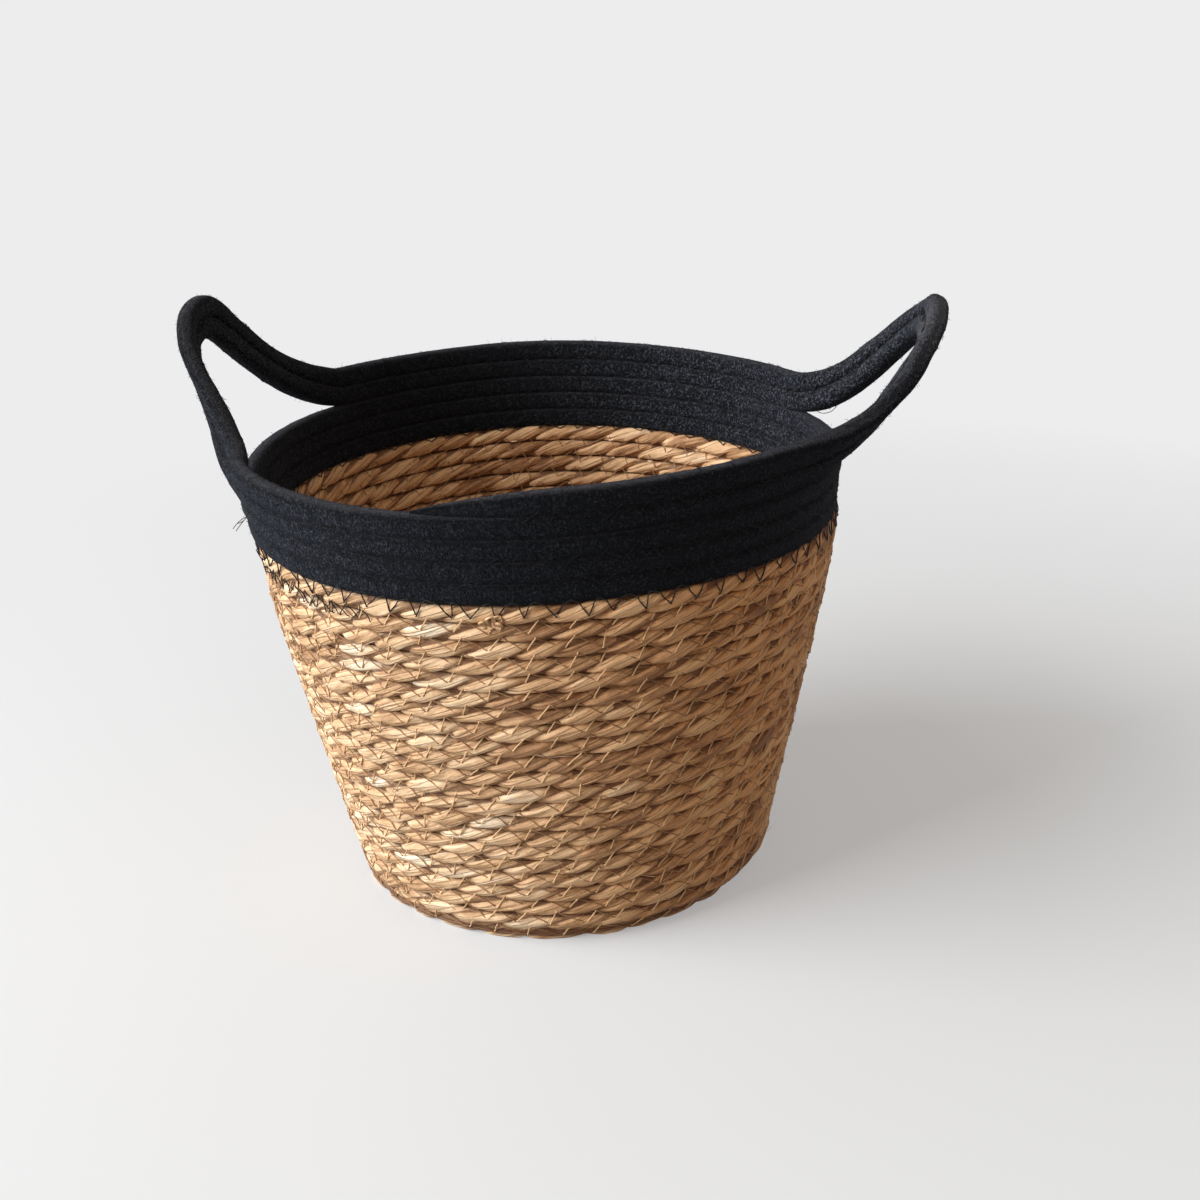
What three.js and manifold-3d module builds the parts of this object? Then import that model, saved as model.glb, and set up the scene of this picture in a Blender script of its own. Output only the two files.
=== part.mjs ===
// Round storage basket made of coiled rope, sewn row on row.
// A flat straw coil is the base, a flaring straw coil is the wall, and a coil of thicker cotton
// rope is the band. The top two cotton rows leave the rim at each side as a standing handle.
// Millimetres, +Z up, the base rests on z = 0 and the handles stand on the X axis.
import * as THREE from "three";
import { mergeVertices } from "three/addons/utils/BufferGeometryUtils.js";
import Module from "manifold-3d";

// Rope: the pitch is from one row's centre to the next, the seam is the clear space between them.
const strawPitch = 9.15;
const strawSeam = 1.0;
const strawWidth = 9.0;
const cottonPitch = 10.1;
const cottonSeam = 0.9;
const cottonWidth = 8.8;

// Bowl: radii run to the rope's centre line. The left handle pulls the rows under it outwards.
const baseRadius = 106.5;
const wallSlant = 192.2;
const junctionRadius = 145.2;
const wallBulgeDepth = 1.4;
const rimRadius = 149;
const rimSway = 4.4;
const rimWarp = 3.4;
const leftPullDepth = 2.9;
const cornerSlack = 1.0;
const restCut = 0.5;
const jointGap = 0.3;
const centreClearance = 0.3;

// Handles: the rise is along the leaning plane, from the feet to the top of the lower rope. The
// reaches are how far the rope keeps its way at a foot and at the crown.
const leftRise = 74.3;
const leftCrownReach = 20.6;
const leftFootReach = 44.8;
const leftCrownOffset = 7.5;
const rightRise = 81.9;
const rightCrownReach = 53.4;
const rightFarFootReach = 52;
const rightNearFootReach = 66.4;
const rightCrownOffset = 13;

// Angles in degrees. Places round the basket count from +X towards +Y, seen from above. A handle's
// lean is from the upright, its lift is how steeply it leaves the rim, and its twist stands the
// ropes of the crown more upright than the plane that the handle leans in.
const leftHalfSpan = 28;
const leftLean = 38.8;
const leftLift = 19.1;
const leftTwist = 30.6;
const rightHalfSpan = 33;
const rightLean = 50.7;
const rightLift = 8.4;
const rightTwist = 18;
const ropeEndAngle = -98;
const ropeTaperAngle = 14;
const swayAngle = 112;
const warpAngle = 134;
const leftPullAngle = 178.5;

// Counts and proportions.
const fixedBandRows = 3;
const handleRows = 2;
const stepsPerTurn = 20;
const strawSides = 6;
const cottonSides = 8;
const legSteps = 13;
const settleShare = 0.7;
const twistShare = 0.6;
const endSizeShare = 0.45;
const pullNarrowness = 3;

const degrees = Math.PI / 180;
const strawHeight = strawPitch - strawSeam;
const cottonHeight = cottonPitch - cottonSeam;
const wallRows = Math.round(wallSlant / strawPitch);
const wallLength = wallRows * strawPitch;
const baseRows = Math.floor((baseRadius - strawHeight / 2 - centreClearance) / strawPitch);
const bandLength = (fixedBandRows + handleRows) * cottonPitch;
const flare = junctionRadius - baseRadius;
const wallClimbShare = Math.sqrt(1 - (flare / wallLength) ** 2);
const baseHeight = strawWidth / 2 - restCut;
const startAngle = 180 + leftHalfSpan;
// A ring of straight steps keeps the mean radius of the round one.
const stepShare = 1 / Math.sqrt(Math.cos(Math.PI / stepsPerTurn));

const straw = new THREE.MeshStandardMaterial({ color: 0xc79a62, roughness: 0.8, metalness: 0 });
const cotton = new THREE.MeshStandardMaterial({ color: 0x1c1e24, roughness: 0.95, metalness: 0 });

// Corners of a rope's section, as [outwards, along the stack], stretched to the two sizes. The
// first corner is turned by a share of the angle between corners.
function ropeSection(width, height, sides, turnShare) {
  const shares = Array.from({ length: sides }, (_, i) => {
    const angle = (2 * Math.PI * (i + turnShare)) / sides;
    return [Math.cos(angle), Math.sin(angle)];
  });
  const acrossShare = Math.max(...shares.map((corner) => corner[0]));
  const alongShare = Math.max(...shares.map((corner) => corner[1]));
  return shares.map(([across, along]) => [
    (across / acrossShare / 2) * width,
    (along / alongShare / 2) * height,
  ]);
}

// The wall's rows have flats towards each other. The base's rows have them up and down.
const wallSection = ropeSection(strawWidth, strawHeight, strawSides, 0);
const baseSection = ropeSection(strawWidth - 2 * restCut, strawHeight, strawSides, 1 / 2);
const cottonSection = ropeSection(cottonWidth, cottonHeight, cottonSides, 1 / 2);

// Mean radius, height and lean of the wall at a length measured up its slope from the base corner.
function wallProfile(length) {
  const share = Math.min(length / wallLength, 1);
  const above = Math.max(length - wallLength, 0);
  const bandShare = above / bandLength;
  const bandFlare = rimRadius - junctionRadius;
  const radius = baseRadius + flare * share + 4 * wallBulgeDepth * share * (1 - share) + bandFlare * bandShare;
  const wallSlope = (flare + 4 * wallBulgeDepth * (1 - 2 * share)) / wallLength;
  const slope = above > 0 ? bandFlare / bandLength : wallSlope;
  return { radius, height: baseHeight + length * wallClimbShare, lean: Math.atan(slope) };
}

// One place on a coil: its centre, the way to the next row and the way out of the basket.
function coilStation(angle, length, offset) {
  const { radius, height, lean } = wallProfile(length);
  const share = length / (wallLength + bandLength);
  const sway = rimSway * Math.min(length / wallLength, 1) * Math.cos(angle - swayAngle * degrees);
  const warp = rimWarp * share ** 2 * Math.cos(2 * (angle - warpAngle * degrees));
  const facing = Math.max(Math.cos(angle - leftPullAngle * degrees), 0);
  const pull = leftPullDepth * share ** 2 * facing ** pullNarrowness;
  const away = new THREE.Vector3(Math.cos(angle), Math.sin(angle), 0);
  const up = new THREE.Vector3(0, 0, 1);
  const stack = away.clone().multiplyScalar(Math.sin(lean)).addScaledVector(up, Math.cos(lean));
  const out = away.clone().multiplyScalar(Math.cos(lean)).addScaledVector(up, -Math.sin(lean));
  const centre = away
    .clone()
    .multiplyScalar((radius + pull) * stepShare)
    .setZ(height + sway + warp)
    .addScaledVector(out, offset);
  return { centre, stack, out };
}

const slackAt = (share) => cornerSlack * Math.sin((Math.PI / 2) * share);

// The first wall row rolls from beside the base to on top of it. This gives its length up the wall
// and its distance out of it, for the share of the turn that it has gone.
function rollingRow(share) {
  const wallAngle = Math.PI / 2 - wallProfile(0).lean;
  const roll = wallAngle * share;
  const reach = strawPitch + slackAt(share);
  const across = strawPitch * (share - 1) + reach * Math.cos(roll);
  const rise = reach * Math.sin(roll);
  return {
    length: across * Math.cos(wallAngle) + rise * Math.sin(wallAngle),
    offset: across * Math.sin(wallAngle) - rise * Math.cos(wallAngle),
    roll,
  };
}

// Coils climb clockwise, seen from above, and are told by the turns gone since their start.
const angleAt = (turns) => (startAngle - 360 * turns) * degrees;
const turnsAt = (angle) => (startAngle - angle) / 360;

function baseStation(turns) {
  const radius = baseRadius - strawPitch * (baseRows - turns);
  const angle = angleAt(turns);
  const away = new THREE.Vector3(Math.cos(angle), Math.sin(angle), 0);
  const reachShare = 1 + (stepShare - 1) * (radius / baseRadius);
  const centre = away.clone().multiplyScalar(radius * reachShare).setZ(baseHeight);
  return { centre, stack: away, out: new THREE.Vector3(0, 0, -1) };
}

function wallStation(turns) {
  const row = Math.floor(turns);
  const { length, offset, roll } = rollingRow(turns - row);
  const climb = row > 0 ? row * strawPitch + cornerSlack - slackAt(turns - row) : 0;
  const station = coilStation(angleAt(turns), length + climb, offset * settleShare ** row);
  if (row > 0) return station;
  const away = new THREE.Vector3(Math.cos(angleAt(turns)), Math.sin(angleAt(turns)), 0);
  station.stack = away.clone().multiplyScalar(Math.cos(roll)).setZ(Math.sin(roll));
  station.out = away.clone().multiplyScalar(Math.sin(roll)).setZ(-Math.cos(roll));
  return station;
}

function cottonStation(turns) {
  const row = Math.floor(turns);
  const share = turns - row;
  const { length, offset } = rollingRow(share);
  const seat = (wallRows - 1) * strawPitch + (strawPitch + cottonPitch) / 2;
  const climb = row * cottonPitch + (cottonPitch - strawPitch) * share + cornerSlack - slackAt(share);
  return coilStation(angleAt(turns), seat + length + climb, offset * settleShare ** wallRows);
}

// The cotton rope's last stretch, which thins to its end and sinks onto the row below.
function taperedStation(turns) {
  const station = cottonStation(turns);
  const share = THREE.MathUtils.clamp(((ropeEnd + fixedBandRows + 1 - turns) * 360) / ropeTaperAngle, 0, 1);
  station.size = endSizeShare + (1 - endSizeShare) * share;
  station.centre.addScaledVector(station.stack, (-(1 - station.size) * cottonHeight) / 2);
  return station;
}

// Stations from one turn count to another, on the steps that all rows share.
function stationsBetween(stationAt, from, to) {
  const stations = [stationAt(from)];
  const step = 1 / stepsPerTurn;
  for (let k = Math.ceil(from / step + 0.2); k * step < to - step / 5; k++) {
    stations.push(stationAt(k * step));
  }
  stations.push(stationAt(to));
  return stations;
}

// A closed tube through stations. An end plane, where one is given, cuts that end along it.
function ropeTube(stations, section, startPlane, endPlane) {
  const sides = section.length;
  const last = stations.length - 1;
  const positions = [];
  stations.forEach((station, i) => {
    const ahead = stations[Math.min(i + 1, last)].centre.clone();
    const along = station.run ?? ahead.sub(stations[Math.max(i - 1, 0)].centre).normalize();
    const plane = i === 0 ? startPlane : i === last ? endPlane : null;
    const size = station.size ?? 1;
    for (const [across, up] of section) {
      const corner = station.centre
        .clone()
        .addScaledVector(station.out, across * size)
        .addScaledVector(station.stack, up * size);
      if (plane) corner.addScaledVector(along, -plane.distanceToPoint(corner) / plane.normal.dot(along));
      positions.push(corner.x, corner.y, corner.z);
    }
  });
  const index = [];
  for (let i = 0; i < last; i++) {
    for (let j = 0; j < sides; j++) {
      const a = i * sides + j;
      const b = i * sides + ((j + 1) % sides);
      index.push(a, b, a + sides, b, b + sides, a + sides);
    }
  }
  const end = last * sides;
  for (let j = 1; j < sides - 1; j++) {
    index.push(0, j + 1, j);
    index.push(end, end + j, end + j + 1);
  }
  const geometry = new THREE.BufferGeometry();
  geometry.setAttribute("position", new THREE.Float32BufferAttribute(positions, 3));
  geometry.setIndex(index);
  return geometry;
}

// Distance from a point to the stretch between two others.
function pointToEdge(point, from, to) {
  return new THREE.Line3(from, to).closestPointToPoint(point, true, new THREE.Vector3()).distanceTo(point);
}

function sectionCorners({ centre, stack, out }, section) {
  return section.map(([across, up]) => centre.clone().addScaledVector(out, across).addScaledVector(stack, up));
}

// Least clear space between a coil and itself. Sections one turn apart lie in one upright plane.
function leastGap(stationAt, rows, section) {
  let least = Infinity;
  for (let k = 0; k <= (rows - 1) * stepsPerTurn; k++) {
    const lower = sectionCorners(stationAt(k / stepsPerTurn), section);
    const upper = sectionCorners(stationAt(k / stepsPerTurn + 1), section);
    for (const [points, edges] of [
      [lower, upper],
      [upper, lower],
    ]) {
      for (const point of points) {
        edges.forEach((edge, i) => {
          least = Math.min(least, pointToEdge(point, edge, edges[(i + 1) % edges.length]));
        });
      }
    }
  }
  return least;
}

const wasm = await Module();
wasm.setup();

function toSolid(geometry) {
  const merged = mergeVertices(geometry);
  return new wasm.Manifold(
    new wasm.Mesh({
      numProp: 3,
      vertProperties: merged.attributes.position.array,
      triVerts: new Uint32Array(merged.index.array),
    }),
  );
}

// The part of a coil that lies above the floor, which leaves a flat face where it rests.
function aboveFloor(geometry) {
  const side = 4 * (junctionRadius + strawWidth);
  const room = new THREE.BoxGeometry(side, side, side);
  room.translate(0, 0, side / 2);
  room.deleteAttribute("normal");
  room.deleteAttribute("uv");
  const mesh = toSolid(geometry).intersect(toSolid(room)).getMesh();
  const cut = new THREE.BufferGeometry();
  cut.setAttribute("position", new THREE.BufferAttribute(new Float32Array(mesh.vertProperties), 3));
  cut.setIndex(new THREE.BufferAttribute(new Uint32Array(mesh.triVerts), 1));
  return cut;
}

// A handle's frame: its two feet, the line between them, the way that it leans and its crown.
function handleFrame(startTurns, endTurns, shape) {
  const feet = [startTurns, endTurns].map((turns) => [footStation(turns), footStation(turns + 1)]);
  const [from, to] = feet.map((rows) => rows[0].centre);
  const along = to.clone().sub(from).normalize();
  const middle = from.clone().add(to).multiplyScalar(0.5);
  const out = middle.clone().setZ(0);
  out.addScaledVector(along, -out.dot(along)).normalize();
  const up = new THREE.Vector3().crossVectors(out, along);
  if (up.z < 0) up.negate();
  const inPlane = (angle) => out.clone().multiplyScalar(Math.sin(angle)).addScaledVector(up, Math.cos(angle));
  const rise = inPlane(shape.lean * degrees);
  const crown = middle.addScaledVector(rise, shape.rise).addScaledVector(along, shape.shift);
  return { ...shape, feet, along, rise, crown, crownStack: inPlane((shape.lean - shape.twist) * degrees) };
}

// A place on the rim with the way that its rope runs, clockwise.
function footStation(turns) {
  const step = 1 / stepsPerTurn / 100;
  const run = cottonStation(turns + step).centre.sub(cottonStation(turns - step).centre).normalize();
  return { ...cottonStation(turns), run };
}

// Half of a handle rope's line, from its foot to the crown or back.
function handleLeg(frame, side) {
  const { centre, run } = frame.feet[side][0];
  const sign = side === 0 ? 1 : -1;
  const lift = frame.lift * degrees;
  const leave = run.clone().multiplyScalar(sign * Math.cos(lift)).addScaledVector(frame.rise, Math.sin(lift));
  const points = [
    centre,
    centre.clone().addScaledVector(leave, frame.footReaches[side]),
    frame.crown.clone().addScaledVector(frame.along, -sign * frame.crownReach),
    frame.crown,
  ];
  return new THREE.CubicBezierCurve3(...(side === 0 ? points : points.reverse()));
}

// Stations of a handle rope: row 0 is the lower rope and row 1 the one sewn on top of it. Its ends
// have the section and the run of the rim rope that they meet.
function handleStations(frame, row) {
  const stations = [frame.feet[0][row]];
  for (const side of [0, 1]) {
    const leg = handleLeg(frame, side);
    for (let i = 1; i <= legSteps - side; i++) {
      const share = i / legSteps;
      const fromFoot = side === 0 ? share : 1 - share;
      const twist = THREE.MathUtils.smoothstep(fromFoot, 0, twistShare);
      const direction = leg.getTangent(share);
      const stack = frame.feet[side][0].stack.clone().lerp(frame.crownStack, twist);
      stack.addScaledVector(direction, -stack.dot(direction)).normalize();
      const out = new THREE.Vector3().crossVectors(stack, direction);
      const centre = leg.getPoint(share).addScaledVector(stack, row * cottonPitch);
      stations.push({ centre, stack, out });
    }
  }
  stations.push(frame.feet[1][row]);
  return stations;
}

// The plane in which rim and handle meet at a foot, half a gap to one side of it.
function footPlane(frame, side, towards) {
  const point = frame.feet[side][0].centre.clone().addScaledVector(frame.along, (towards * jointGap) / 2);
  return new THREE.Plane().setFromNormalAndCoplanarPoint(frame.along, point);
}

const leftFar = turnsAt(180 - leftHalfSpan);
const rightFar = turnsAt(rightHalfSpan);
const rightNear = turnsAt(-rightHalfSpan);
const ropeEnd = turnsAt(ropeEndAngle);
const left = handleFrame(fixedBandRows, leftFar + fixedBandRows, {
  rise: leftRise,
  shift: leftCrownOffset,
  crownReach: leftCrownReach,
  footReaches: [leftFootReach, leftFootReach],
  lean: leftLean,
  lift: leftLift,
  twist: leftTwist,
});
const right = handleFrame(rightFar + fixedBandRows, rightNear + fixedBandRows, {
  rise: rightRise,
  shift: -rightCrownOffset,
  crownReach: rightCrownReach,
  footReaches: [rightFarFootReach, rightNearFootReach],
  lean: rightLean,
  lift: rightLift,
  twist: rightTwist,
});

const basket = new THREE.Group();

function addPiece(name, geometry, material) {
  const piece = new THREE.Mesh(geometry, material);
  piece.name = name;
  basket.add(piece);
}

// Straw ropes of the base and the wall, which meet face to face at the start of the wall.
function buildStrawCoils() {
  const gapTurns = jointGap / 2 / (2 * Math.PI * baseRadius);
  const base = stationsBetween(baseStation, 0, baseRows - gapTurns);
  addPiece("seagrass_base_coil", ropeTube(base, baseSection), straw);
  const wall = stationsBetween(wallStation, gapTurns, wallRows - gapTurns);
  addPiece("seagrass_wall_coil", aboveFloor(ropeTube(wall, wallSection)), straw);
}

// The cotton rows that stay on the wall, and the rim rows between the handles.
function buildCottonRim() {
  const gapTurns = jointGap / 2 / (2 * Math.PI * junctionRadius);
  const band = stationsBetween(cottonStation, gapTurns, fixedBandRows);
  const bandEnd = footPlane(left, 0, -1);
  addPiece("cotton_band_coil", ropeTube(band, cottonSection, null, bandEnd), cotton);
  for (const [row, level] of [
    [0, "lower"],
    [1, "upper"],
  ]) {
    const from = fixedBandRows + row;
    const back = stationsBetween(cottonStation, leftFar + from, rightFar + from);
    const backStart = footPlane(left, 1, 1);
    const backEnd = footPlane(right, 0, -1);
    addPiece(`rim_back_${level}_rope`, ropeTube(back, cottonSection, backStart, backEnd), cotton);
    const frontTo = row === 0 ? from + 1 : from + ropeEnd;
    const front = stationsBetween(row === 0 ? cottonStation : taperedStation, rightNear + from, frontTo);
    const frontStart = footPlane(right, 1, 1);
    const frontEnd = row === 0 ? footPlane(left, 0, -1) : null;
    addPiece(`rim_front_${level}_rope`, ropeTube(front, cottonSection, frontStart, frontEnd), cotton);
  }
}

// A handle is two ropes side by side in a leaning arch, cut square to the line of its feet.
function buildHandle(name, frame) {
  for (const [row, level] of [
    [0, "lower"],
    [1, "upper"],
  ]) {
    const start = footPlane(frame, 0, 1);
    const end = footPlane(frame, 1, -1);
    const tube = ropeTube(handleStations(frame, row), cottonSection, start, end);
    addPiece(`${name}_handle_${level}_rope`, tube, cotton);
  }
}

buildStrawCoils();
buildCottonRim();
buildHandle("left", left);
buildHandle("right", right);

console.log("least gap in the base coil:", leastGap(baseStation, baseRows, baseSection).toFixed(2));
console.log("least gap in the wall coil:", leastGap(wallStation, wallRows, wallSection).toFixed(2));
console.log("least gap in the cotton coil:", leastGap(cottonStation, fixedBandRows, cottonSection).toFixed(2));

// The origin is on the floor, under the middle of the basket's box.
const box = new THREE.Box3().setFromObject(basket);
const middle = box.getCenter(new THREE.Vector3());
basket.position.set(-middle.x, -middle.y, 0);
console.log("middle of the coils:", basket.position.toArray().map((v) => v.toFixed(2)).join(" "));
for (const { feet } of [left, right]) {
  const ends = feet.map((rows) => rows[0].centre.clone().add(basket.position).toArray());
  console.log("hinge line:", ends.map((end) => end.map((v) => v.toFixed(2)).join(" ")).join(" to "));
}

export default basket;
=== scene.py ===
"""Looks of a round basket of coiled seagrass rope, with a band and two handles of cotton rope.

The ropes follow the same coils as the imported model. Sizes are in millimetres and angles in degrees
until a mesh is made, which is in metres. Turns count along a coil, clockwise seen from above.
"""

import logging
import math
from dataclasses import dataclass, field
from enum import Enum
from typing import Iterable, Sequence

import bpy
import numpy as np
from mathutils import Matrix, Vector


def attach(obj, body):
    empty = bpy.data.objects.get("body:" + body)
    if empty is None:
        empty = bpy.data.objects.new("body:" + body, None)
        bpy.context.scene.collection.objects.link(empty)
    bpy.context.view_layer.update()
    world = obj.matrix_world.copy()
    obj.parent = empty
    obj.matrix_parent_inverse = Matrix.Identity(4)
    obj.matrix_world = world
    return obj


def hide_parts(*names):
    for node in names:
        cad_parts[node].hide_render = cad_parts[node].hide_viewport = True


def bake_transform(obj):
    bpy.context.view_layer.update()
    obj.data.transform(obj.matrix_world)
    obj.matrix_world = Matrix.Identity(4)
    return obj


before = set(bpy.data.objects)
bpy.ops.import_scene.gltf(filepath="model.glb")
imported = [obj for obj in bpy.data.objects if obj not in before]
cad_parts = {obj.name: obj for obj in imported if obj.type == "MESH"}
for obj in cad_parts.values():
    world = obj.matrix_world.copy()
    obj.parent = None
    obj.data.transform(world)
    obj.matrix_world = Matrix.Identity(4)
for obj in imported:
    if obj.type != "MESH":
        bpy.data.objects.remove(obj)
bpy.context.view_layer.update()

log = logging.getLogger("basket")
MM = 0.001
CIRCLE = 2 * np.pi
UP = np.array([0.0, 0.0, 1.0])
# A direction that no strand runs along
SLANT = np.array([0.31, 0.17, 0.93])
# The range that most values of a noise lie in
NOISE_MIDDLE = (0.3, 0.7)

Array = np.ndarray
Socket = bpy.types.NodeSocket
Piece = bpy.types.Object
Material = bpy.types.Material
# A wander along a rope: the distance between its random values, and their size
Drift = tuple[float, float]


class Face(Enum):
    """The two faces of the basket's wall, with the sign of the way out of the basket."""

    OUTSIDE = 1
    INSIDE = -1


class Handle(Enum):
    """The two handles, with the sign of the side of the X axis that each stands on."""

    LEFT = -1
    RIGHT = 1


@dataclass
class Stations:
    """Places along a rope: centres and the two directions of its section, one row each."""

    centre: Array
    stack: Array
    out: Array

    def at(self, across: Array, up: Array) -> Array:
        """Points that lie across and up from the centres."""
        return self.centre + self.out * across[..., None] + self.stack * up[..., None]

    def part(self, first: int, last: int) -> "Stations":
        """The stations from one index up to another."""
        return Stations(self.centre[first:last], self.stack[first:last], self.out[first:last])

    def every(self, count: int) -> "Stations":
        """One station out of each count."""
        return Stations(self.centre[::count], self.stack[::count], self.out[::count])

    def as_tube(self) -> "Stations":
        """The stations as those of the only tube of a sweep."""
        return Stations(self.centre[None], self.stack[None], self.out[None])

    def lengths(self) -> Array:
        """Distance of each station from the first one along the rope."""
        steps = np.linalg.norm(np.diff(self.centre, axis=0), axis=-1)
        return np.concatenate([[0.0], np.cumsum(steps)])


def unit(vectors: Array) -> Array:
    """Vectors at length one."""
    return vectors / np.linalg.norm(vectors, axis=-1, keepdims=True)


def square_to(vectors: Array, run: Array) -> Array:
    """Vectors at length one, turned square to other ones of length one."""
    return unit(vectors - run * (vectors * run).sum(-1, keepdims=True))


def soften(share: Array) -> Array:
    """A share of 0 to 1 that starts and ends slowly."""
    return share * share * (3 - 2 * share)


def smooth_step(value: Array, low: float, high: float) -> Array:
    """A share that rises smoothly from 0 at the low value to 1 at the high one."""
    return soften(np.clip((value - low) / (high - low), 0, 1))


def bell(value: Array, middle: float, spread: float) -> Array:
    """A share that is 1 at the middle and falls smoothly to both sides."""
    return np.exp(-(((value - middle) / spread) ** 2))


def lobe(angle: Array, middle: float, narrowness: float) -> Array:
    """A share that is 1 at an angle of so many degrees and 0 from a quarter turn off."""
    return np.maximum(np.cos(angle - math.radians(middle)), 0) ** narrowness


def ring_angles(sides: int) -> Array:
    """Angles of a ring's corners."""
    return CIRCLE * np.arange(sides) / sides


def wander(rng: np.random.Generator, places: Array, wave: float, size: float) -> Array:
    """A smooth random walk along a rope.

    Args:
        rng: The source of the random values.
        places: Distances along the rope.
        wave: Distance between the random values.
        size: Their spread on both sides of zero.

    Returns:
        One value for each place.
    """
    low = float(np.min(places))
    count = int((np.max(places) - low) / wave) + 4
    knots = rng.uniform(-size, size, count)
    spot = (places - low) / wave
    whole = np.floor(spot).astype(int)
    share = soften(spot - whole)
    return knots[whole] * (1 - share) + knots[whole + 1] * share


def add_object(name: str, data: bpy.types.ID) -> Piece:
    """Puts a new object with its data in the scene."""
    made = bpy.data.objects.new(name, data)
    bpy.context.scene.collection.objects.link(made)
    return made


@dataclass(frozen=True)
class CoilShape:
    """The way that both ropes are wound, with the model's own sizes."""

    straw_pitch: float = 9.15
    cotton_pitch: float = 10.1
    base_radius: float = 106.5
    junction_radius: float = 145.2
    wall_bulge: float = 1.4
    rim_radius: float = 149
    rim_sway: float = 4.4
    rim_warp: float = 3.4
    left_pull: float = 2.9
    corner_slack: float = 1.0
    base_height: float = 4.0
    sway_angle: float = 112
    warp_angle: float = 134
    left_pull_angle: float = 178.5
    pull_narrowness: float = 3
    foot_flare: float = 6.6
    foot_flare_angle: float = 205
    foot_flare_steepness: int = 12
    right_dip: float = 2.6
    right_dip_share: float = 0.86
    right_dip_spread: float = 0.1
    left_dip: float = 1.8
    left_dip_share: float = 0.77
    left_dip_spread: float = 0.06
    left_lift: float = 3.4
    left_lift_angle: float = 176
    back_sag: float = 2.0
    back_sag_angle: float = 130
    local_narrowness: float = 10
    top_steepness: int = 4
    start_angle: float = 208
    rope_end_angle: float = -101.5
    settle_share: float = 0.7
    base_rows: int = 11
    wall_rows: int = 21
    band_rows: int = 3
    top_rows: int = 2
    middle: tuple[float, float] = (-6.60, -0.20)

    @property
    def wall_length(self) -> float:
        """Length of the wall up its slope, from the base corner to the junction."""
        return self.wall_rows * self.straw_pitch

    @property
    def band_length(self) -> float:
        """Length of the cotton rows up their slope."""
        return (self.band_rows + self.top_rows) * self.cotton_pitch

    @property
    def girth(self) -> float:
        """Length of a turn at the junction of both ropes."""
        return CIRCLE * self.junction_radius

    @property
    def last_straw_row(self) -> int:
        """Turns at which the last seagrass row begins."""
        return self.base_rows + self.wall_rows - 1

    @property
    def axis(self) -> Array:
        """The point on the floor that the coils are wound round."""
        return np.array([*self.middle, 0.0])

    def angle_at(self, turns: Array) -> Array:
        """Angle in radians at a count of turns."""
        return np.radians(self.start_angle - 360 * turns)

    def turns_at(self, angle: Array | float) -> Array | float:
        """Turns from the coils' start to an angle in degrees."""
        return (self.start_angle - angle) / 360

    def profile(self, length: Array) -> tuple[Array, Array, Array]:
        """The wall's outline.

        Args:
            length: Lengths up the wall's slope.

        Returns:
            The radius, the height and the lean in radians at each.
        """
        flare = self.junction_radius - self.base_radius
        band_flare = self.rim_radius - self.junction_radius
        share = np.minimum(length / self.wall_length, 1)
        above = np.maximum(length - self.wall_length, 0)
        bulge = 4 * self.wall_bulge * share * (1 - share)
        radius = self.base_radius + flare * share + bulge + band_flare * above / self.band_length
        slope = (flare + 4 * self.wall_bulge * (1 - 2 * share)) / self.wall_length
        slope = np.where(above > 0, band_flare / self.band_length, slope)
        climb = math.sqrt(1 - (flare / self.wall_length) ** 2)
        return radius, self.base_height + length * climb, np.arctan(slope)

    def away(self, angle: Array) -> Array:
        """Level directions away from the basket's axis."""
        return np.stack([np.cos(angle), np.sin(angle), np.zeros_like(angle)], -1)

    def on_wall(self, angle: Array, length: Array, offset: Array) -> Stations:
        """Stations on the swaying and dented wall.

        Args:
            angle: Angles round the basket, in radians.
            length: Lengths up the wall's slope.
            offset: Distances out of it.

        Returns:
            One station for each angle.
        """
        radius, height, lean = self.profile(length)
        share = length / (self.wall_length + self.band_length)
        high, narrow = share**self.top_steepness, self.local_narrowness
        sway = self.rim_sway * np.minimum(length / self.wall_length, 1)
        sway = sway * np.cos(angle - math.radians(self.sway_angle))
        warp = self.rim_warp * share**2 * np.cos(2 * (angle - math.radians(self.warp_angle)))
        warp = warp + self.left_lift * high * lobe(angle, self.left_lift_angle, narrow)
        warp = warp - self.back_sag * high * lobe(angle, self.back_sag_angle, narrow)
        at_foot = lobe(angle, self.foot_flare_angle, narrow)
        pulled = lobe(angle, self.left_pull_angle, self.pull_narrowness)
        right_dip = self.right_dip * bell(share, self.right_dip_share, self.right_dip_spread)
        left_dip = self.left_dip * bell(share, self.left_dip_share, self.left_dip_spread)
        radius = radius + self.left_pull * high * pulled
        radius = radius + self.foot_flare * share**self.foot_flare_steepness * at_foot
        radius = radius - right_dip * lobe(angle, 0, narrow) - left_dip * at_foot
        away = self.away(angle)
        sin, cos = np.sin(lean)[..., None], np.cos(lean)[..., None]
        stack, out = away * sin + UP * cos, away * cos - UP * sin
        centre = away * radius[..., None] + UP * (height + sway + warp)[..., None]
        return Stations(centre + out * offset[..., None] + self.axis, stack, out)

    def slack(self, share: Array) -> Array:
        """Extra reach of the first wall row while it rolls round the corner."""
        return self.corner_slack * np.sin(np.pi / 2 * share)

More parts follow.
